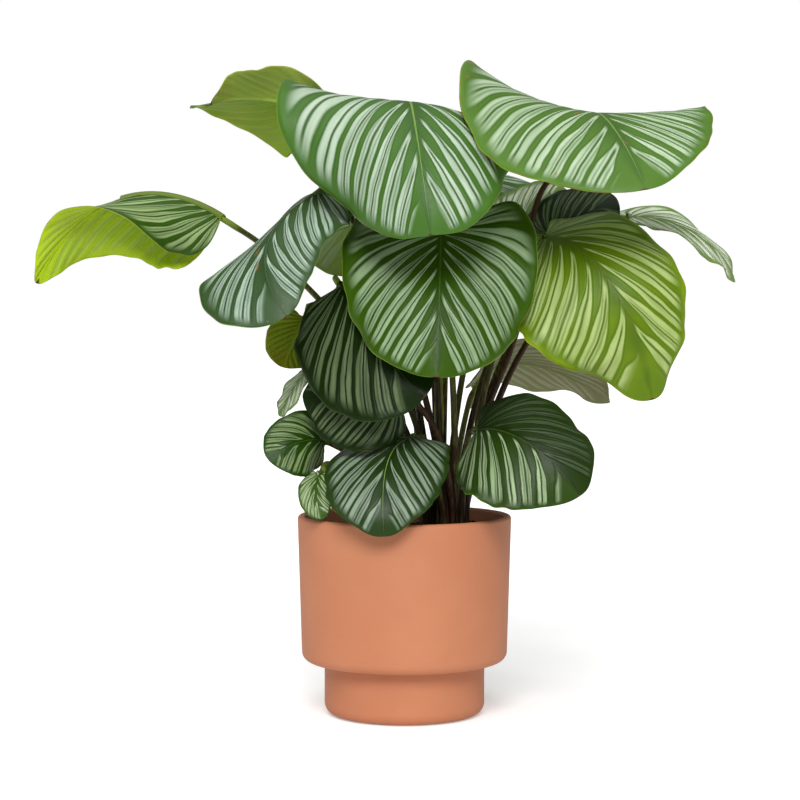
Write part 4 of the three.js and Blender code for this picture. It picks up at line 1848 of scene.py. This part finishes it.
# The low right leaf, with painted shade over its left half.
NARROW_LINES = tinted(
    DEEP_PAINTED_SHADE, green=(38, 62, 14), dark=(16, 30, 2), silver=(158, 182, 136), border=(54, 80, 16),
    edge=(110, 140, 30), width=0.6, shaded_left=0.75,
)
FRONT = tinted(
    BROAD, green=(32, 56, 10), dark=(18, 38, 2), silver=(141, 160, 137), border=(34, 62, 6),
    edge=(76, 108, 34), bands=8, width=0.74, sweep=1.3,
)
YELLOW = tinted(
    BROAD, dark=(70, 86, 10), silver=(116, 134, 40), edge=(190, 116, 20),
    under_right=(122, 144, 22), under_left=(122, 144, 22), scorch=0.9,
)


class StalkTone(Enum):
    """The sorts of stalk, which take turns through the clump."""

    OLIVE = StalkFinish()
    BROWN = StalkFinish(
        foot=paint(46, 20, 9), shaft=paint(54, 34, 12), light=paint(98, 68, 34)
    )
    GREEN = StalkFinish(
        foot=paint(50, 34, 14), shaft=paint(78, 80, 28), light=paint(132, 132, 70)
    )


YOUNG = StalkFinish(
    foot=paint(92, 84, 30), shaft=paint(116, 140, 16), light=paint(142, 166, 40),
    joint=paint(140, 164, 40),
)

LEAVES = [
    Leaf(
        "crown", Tone.GREEN, BROAD, slot=(0, 0),
        rib=((7, -20, 668), (8, -92, 672), (17, -148, 610), (27, -170, 532)),
        side=((-1, 0.1, 0.1),),
        right=Half(137, 0, -5, 0, -100), left=Half(125, 0, -5, -30, -55), wave=(4, 3),
        lobe=0.5, apex=-0.03, taper=0.34, curls=((1, -0.1, 0.3, 34), (-1, 0, 0.25, 15)),
    ),
    Leaf(
        "high_right", Tone.GREEN, HIGH_RIGHT, slot=(1, 0),
        rib=((209, 20, 660), (216, -60, 666), (236, -130, 624), (251, -165, 580)),
        side=((-1, 0.2, 0.2), (-1, -0.1, -0.1)),
        right=Half(160, 0, 0, 8, -8), left=Half(118, 5, 0, 14, -20),
        lobe=0.38, apex=0.06, taper=0.1,
        via=((94, 5, 345), (126, 9, 430), (153, 14, 585)),
        curls=((1, -0.1, 0.3, 40),),
    ),
    Leaf(
        "far_left", Tone.GREEN, FAR_LEFT, slot=(-1, 0),
        rib=((-203, -10, 559), (-272, -15, 583), (-346, -10, 564), (-412, 0, 484)),
        side=((0, 1, 0), (0.9, 0.4, -0.5)),
        right=Half(74, -60, -20, -60, -30), left=Half(58, -50, -20, -60, 20),
        lobe=0.12, taper=0.62,
        via=((-36, 0, 392), (-150, 36, 518)),
        curls=((1, 0.95, 0.3, 150), (-1, 0.95, 0.3, 110)),
    ),
    Leaf(
        "high_left", Tone.OLIVE, HIGH_LEFT, slot=(-1, 2),
        rib=((-99, 60, 673), (-136, 60, 690), (-184, 50, 694), (-219, 20, 684)),
        side=((0, 0.5, -0.85), (0, 0.95, 0.3)),
        right=Half(78, 0, 0, -10, -10), left=Half(52, 0, 60, -30, -10),
    ),
    Leaf(
        "silver_left", Tone.BLUE, BLUE, slot=(0, -1),
        rib=((-91, -32, 587), (-133, -82, 553), (-149, -120, 507), (-125, -150, 448)),
        side=((0, 0.35, 0.35), (-0.93, 0, -0.5)),
        right=Half(103, -60, 10, -15, -10), left=Half(68, 5, -5, -25, -10), wave=(4, 4),
        lobe=0.2, taper=0.1,
    ),
    Leaf(
        "centre", Tone.GREEN, GLOSSY, slot=(1, -1),
        rib=((40, -64, 541), (38, -102, 492), (36, -132, 440), (34, -152, 384)),
        side=((-1, 0, 0),),
        right=Half(110, -8, -10, -5, -50), left=Half(106, 0, -10, -5, -50),
        lobe=0.8, taper=0.16,
    ),
    Leaf(
        "lime_right", Tone.LIME, LIME, slot=(2, -1),
        rib=((154, -20, 536), (198, -70, 514), (237, -100, 455), (269, -85, 357)),
        side=((-0.86, -0.15, -0.5), (-0.9, 0, -0.4)),
        right=Half(112, -12, -4, -5, 10), left=Half(82, -5, -5, -20, -30), wave=(4, 4),
        apex=0.14, curls=((1, 0.88, 0.1, -80), (-1, 0.97, 0.1, -60)),
    ),
    Leaf(
        "far_right", Tone.PALE, PALE, slot=(2, 1),
        rib=((258, 80, 561), (307, 90, 556), (355, 95, 530), (385, 95, 486)),
        side=((-0.2, -0.95, -0.2), (-0.1, -1, -0.1)),
        right=Half(66, -5, -10, 10, 0), left=Half(50, 0, 5, 10, 0), wave=(4, 3),
    ),
    Leaf(
        "low_back_right", Tone.PALE, UNDERSIDE, slot=(1, 2),
        rib=((82, 95, 366), (134, 125, 392), (200, 155, 372), (245, 172, 342)),
        side=((0, -0.85, 0.5), (0, -0.9, 0.4)),
        right=Half(48), left=Half(65), wave=(6, 3),
    ),
    Leaf(
        "dark_left", Tone.DARK, DEEP_PAINTED_SHADE, slot=(-1, -1),
        rib=((-71, -28, 482), (-42, -72, 440), (-14, -104, 399), (22, -120, 362)),
        side=((-0.75, -0.1, -0.6),),
        right=Half(92, -5, -5, -15, -10), left=Half(76, -5, -5, -15, -10), wave=(3, 4),
        lobe=0.2,
    ),
    Leaf(
        "under_dark", Tone.DARK, DEEP_PAINTED_SHADE, slot=(1, -2),
        rib=((-6, -66, 364), (-38, -80, 366), (-76, -70, 365), (-112, -52, 357)),
        side=((0, 0.3, 1),),
        right=Half(32), left=Half(66, -5, -5, -10, -10),
        via=((36, -36, 318),),
    ),
    Leaf(
        "front_low", Tone.GREEN, FRONT, slot=(0, -2),
        rib=((10, -38, 314), (-15, -84, 298), (-23, -126, 262), (-22, -142, 214)),
        side=((-1, 0.1, 0), (-1, 0, 0)),
        right=Half(72, -5, 0, -20, -30), left=Half(66, -5, 0, -20, -30), wave=(2, 3),
        apex=0.07,
    ),
    Leaf(
        "right_low", Tone.DARK, NARROW_LINES, slot=(2, -2),
        rib=((78, -44, 322), (113, -84, 321), (152, -107, 297), (188, -116, 255)),
        side=((-0.3, -0.5, -0.8), (-0.7, -0.2, -0.7)),
        right=Half(84, -5, 0, 0, 0), left=Half(64, -5, 0, -20, -40),
        apex=0.06,
    ),
    Leaf(
        "small_left", Tone.DARK, SMALL, slot=(-2, -1),
        rib=((-89, -20, 308), (-109, -40, 310), (-130, -50, 303), (-150, -55, 290)),
        side=((0.2, 0.3, 1), (0, 0.3, 1)),
        right=Half(34, 0, 0, -10, -10), left=Half(40, -5, 0, -15, -10), wave=(1.5, 3),
    ),
    Leaf(
        "rim_left", Tone.DARK, RIM_PAINTED_LIGHT, slot=(-2, -2),
        rib=((-93, -56, 276), (-97, -70, 260), (-94, -80, 243), (-86, -84, 229)),
        side=((-0.9, 0, -0.4), (-1, 0, 0)),
        right=Half(20, -10, 0, 0, 0), left=Half(18, -10, 0, 0, 0), wave=(1, 3),
    ),
    Leaf(
        "narrow_left", Tone.PALE, PALE, slot=(-2, 0),
        rib=((-108, 2, 386), (-119, -2, 374), (-130, -5, 356), (-141, -5, 336)),
        side=((-0.4, 0.9, 0),),
        right=Half(30), left=Half(30), wave=(1.5, 3),
        lobe=0.1,
    ),
    Leaf(
        "yellow_left", Tone.OLIVE, YELLOW, slot=(-2, 1),
        rib=((-112, 20, 445), (-120, 15, 426), (-129, 10, 407), (-135, 5, 389)),
        side=((0.9, 0.2, -0.3),),
        right=Half(34), left=Half(34), wave=(1.5, 3),
    ),
    Leaf(
        "pale_back", Tone.PALE, PALE, slot=(0, 1),
        rib=((114, 55, 543), (140, 75, 564), (164, 90, 580), (188, 100, 594)),
        side=((0.55, -0.5, -0.47),),
        right=Half(42), left=Half(42), wave=(2, 3),
    ),
    Leaf(
        "shaded_right", Tone.DARK, DEEP_PAINTED_SHADE, slot=(1, 1),
        rib=((163, 30, 536), (189, 42, 554), (218, 50, 568), (245, 54, 576)),
        side=((0.47, -0.5, -0.62),),
        right=Half(45), left=Half(45), wave=(2, 3),
    ),
    Leaf(
        "back_left", Tone.GREEN, BROAD, slot=(-2, 2),
        rib=((-35, 120, 560), (-52, 185, 572), (-66, 240, 550), (-78, 275, 495)),
        side=((1, 0.2, 0),),
        right=Half(85, -5, -5, -25, -20), left=Half(80, -5, -5, -20, -20), wave=(4, 3),
    ),
    Leaf(
        "back", Tone.GREEN, BROAD, slot=(0, 2),
        rib=((60, 140, 612), (72, 205, 622), (84, 262, 584), (94, 300, 500)),
        side=((1, 0, 0),),
        right=Half(100, -5, -5, -20, -20), left=Half(100, -5, -5, -20, -20), wave=(4, 4),
    ),
    Leaf(
        "back_right", Tone.GREEN, BROAD, slot=(2, 2),
        rib=((205, 120, 549), (228, 170, 549), (248, 210, 522), (266, 240, 456)),
        side=((1, -0.3, 0),),
        right=Half(75, -5, -5, -20, -20), left=Half(75, -5, -5, -20, -20),
    ),
    Leaf(
        "low_back", Tone.DARK, DEEP_PAINTED_SHADE, slot=(-1, 3),
        rib=((30, 100, 457), (27, 150, 463), (24, 200, 433), (20, 235, 378)),
        side=((1, 0, 0),),
        right=Half(80, -5, -5, -20, -20), left=Half(80, -5, -5, -20, -20),
    ),
]


# ---------------------------------------------------------------- the studio


@dataclass(frozen=True)
class Lamp:
    """A large, far and soft light.

    Attributes:
        name: Its name.
        aim: The way that its light goes.
        softness: The angle that it fills as seen from the plant, in degrees.
        power: Its strength.
    """

    name: str
    aim: Point
    softness: float
    power: float

    def hang(self) -> None:
        """Puts the light in the scene."""
        data = bpy.data.lights.new(self.name, "SUN")
        data.angle = math.radians(self.softness)
        data.energy = self.power
        lamp = bpy.data.objects.new(self.name, data)
        bpy.context.scene.collection.objects.link(lamp)
        lamp.rotation_euler = Vector(self.aim).to_track_quat("-Z", "Y").to_euler()


@dataclass
class Studio:
    """The pale floor, the soft lights and the camera, in metres.

    Attributes:
        camera_place: Where the camera stands.
        camera_dip: How far it looks down, in degrees.
        lens: Its focal length, in millimetres.
        sky: The light from all round.
        floor_glow: How much brighter the camera sees the floor.
        lamps: The lights.
    """

    camera_place: Point = (-0.005, -2.492, 0.464)
    camera_dip: float = 2.55
    lens: float = 100.0
    sky: float = 0.31
    floor_glow: float = 0.35
    lamps: tuple[Lamp, ...] = (
        Lamp("key", (0.03, 0.8, -0.6), 26, 2.12),
        Lamp("top", (0.1, 0.15, -1.0), 60, 1.0),
    )

    def lay_floor(self) -> None:
        """Lays the floor, which the camera sees as bright as the backdrop, with no line between."""
        clear_selection()
        bpy.ops.mesh.primitive_plane_add(size=40, location=(0, 0, -0.0005))
        floor = bpy.context.object
        floor.name = "floor"
        w = Coat("pale_floor", 0.9)
        haze = w.mottle(w.own_place(), 2.0)
        pale = w.blend(haze, paint(248, 248, 248), paint(252, 252, 252))
        w.give("Base Color", pale)
        w.give("Emission Color", (1, 1, 1, 1))
        w.give("Emission Strength", w.times(w.seen(), self.floor_glow))
        floor.data.materials.append(w.material)

    def hang_backdrop(self) -> None:
        """Lights the plant softly from all round, and shows the camera plain white."""
        world = bpy.data.worlds.new("studio")
        bpy.context.scene.world = world
        world.use_nodes = True
        w = Wiring(world.node_tree)
        strength = w.scaled(w.seen(), 1 - self.sky, self.sky)
        glow = w.use("ShaderNodeBackground", {"Color": (1, 1, 1, 1), "Strength": strength})
        w.use("ShaderNodeOutputWorld", {"Surface": glow})

    def place_camera(self) -> None:
        """Puts the camera where the photographer's stood."""
        data = bpy.data.cameras.new("camera")
        data.lens = self.lens
        data.sensor_width = 36
        data.clip_end = 100
        camera = bpy.data.objects.new("camera", data)
        scene = bpy.context.scene
        scene.collection.objects.link(camera)
        camera.location = self.camera_place
        camera.rotation_euler = (math.radians(90 - self.camera_dip), 0, 0)
        scene.camera = camera
        scene.view_settings.view_transform = "Standard"

    def build(self) -> None:
        """Sets up the floor, the lights and the camera."""
        self.lay_floor()
        self.hang_backdrop()
        for lamp in self.lamps:
            lamp.hang()
        self.place_camera()


def main() -> None:
    """Builds the pot, the soil and every leaf, in order."""
    logging.basicConfig(level=logging.INFO, format="%(name)s: %(message)s")
    dresser = Dresser()
    pot = Pot()
    pot.build(dresser)
    soil = Soil(pot)
    soil.build(dresser)
    stalks = [dresser.stalk(f"stalk_{tone.name.lower()}", tone.value) for tone in StalkTone]
    for place, leaf in enumerate(LEAVES):
        leaf.build_stalk(soil, stalks[place % len(stalks)])
        leaf.build_blade(dresser)
    NewLeaf().build(soil, dresser.stalk("rolled_leaf", YOUNG))
    Studio().build()


if __name__ == "__main__":
    main()
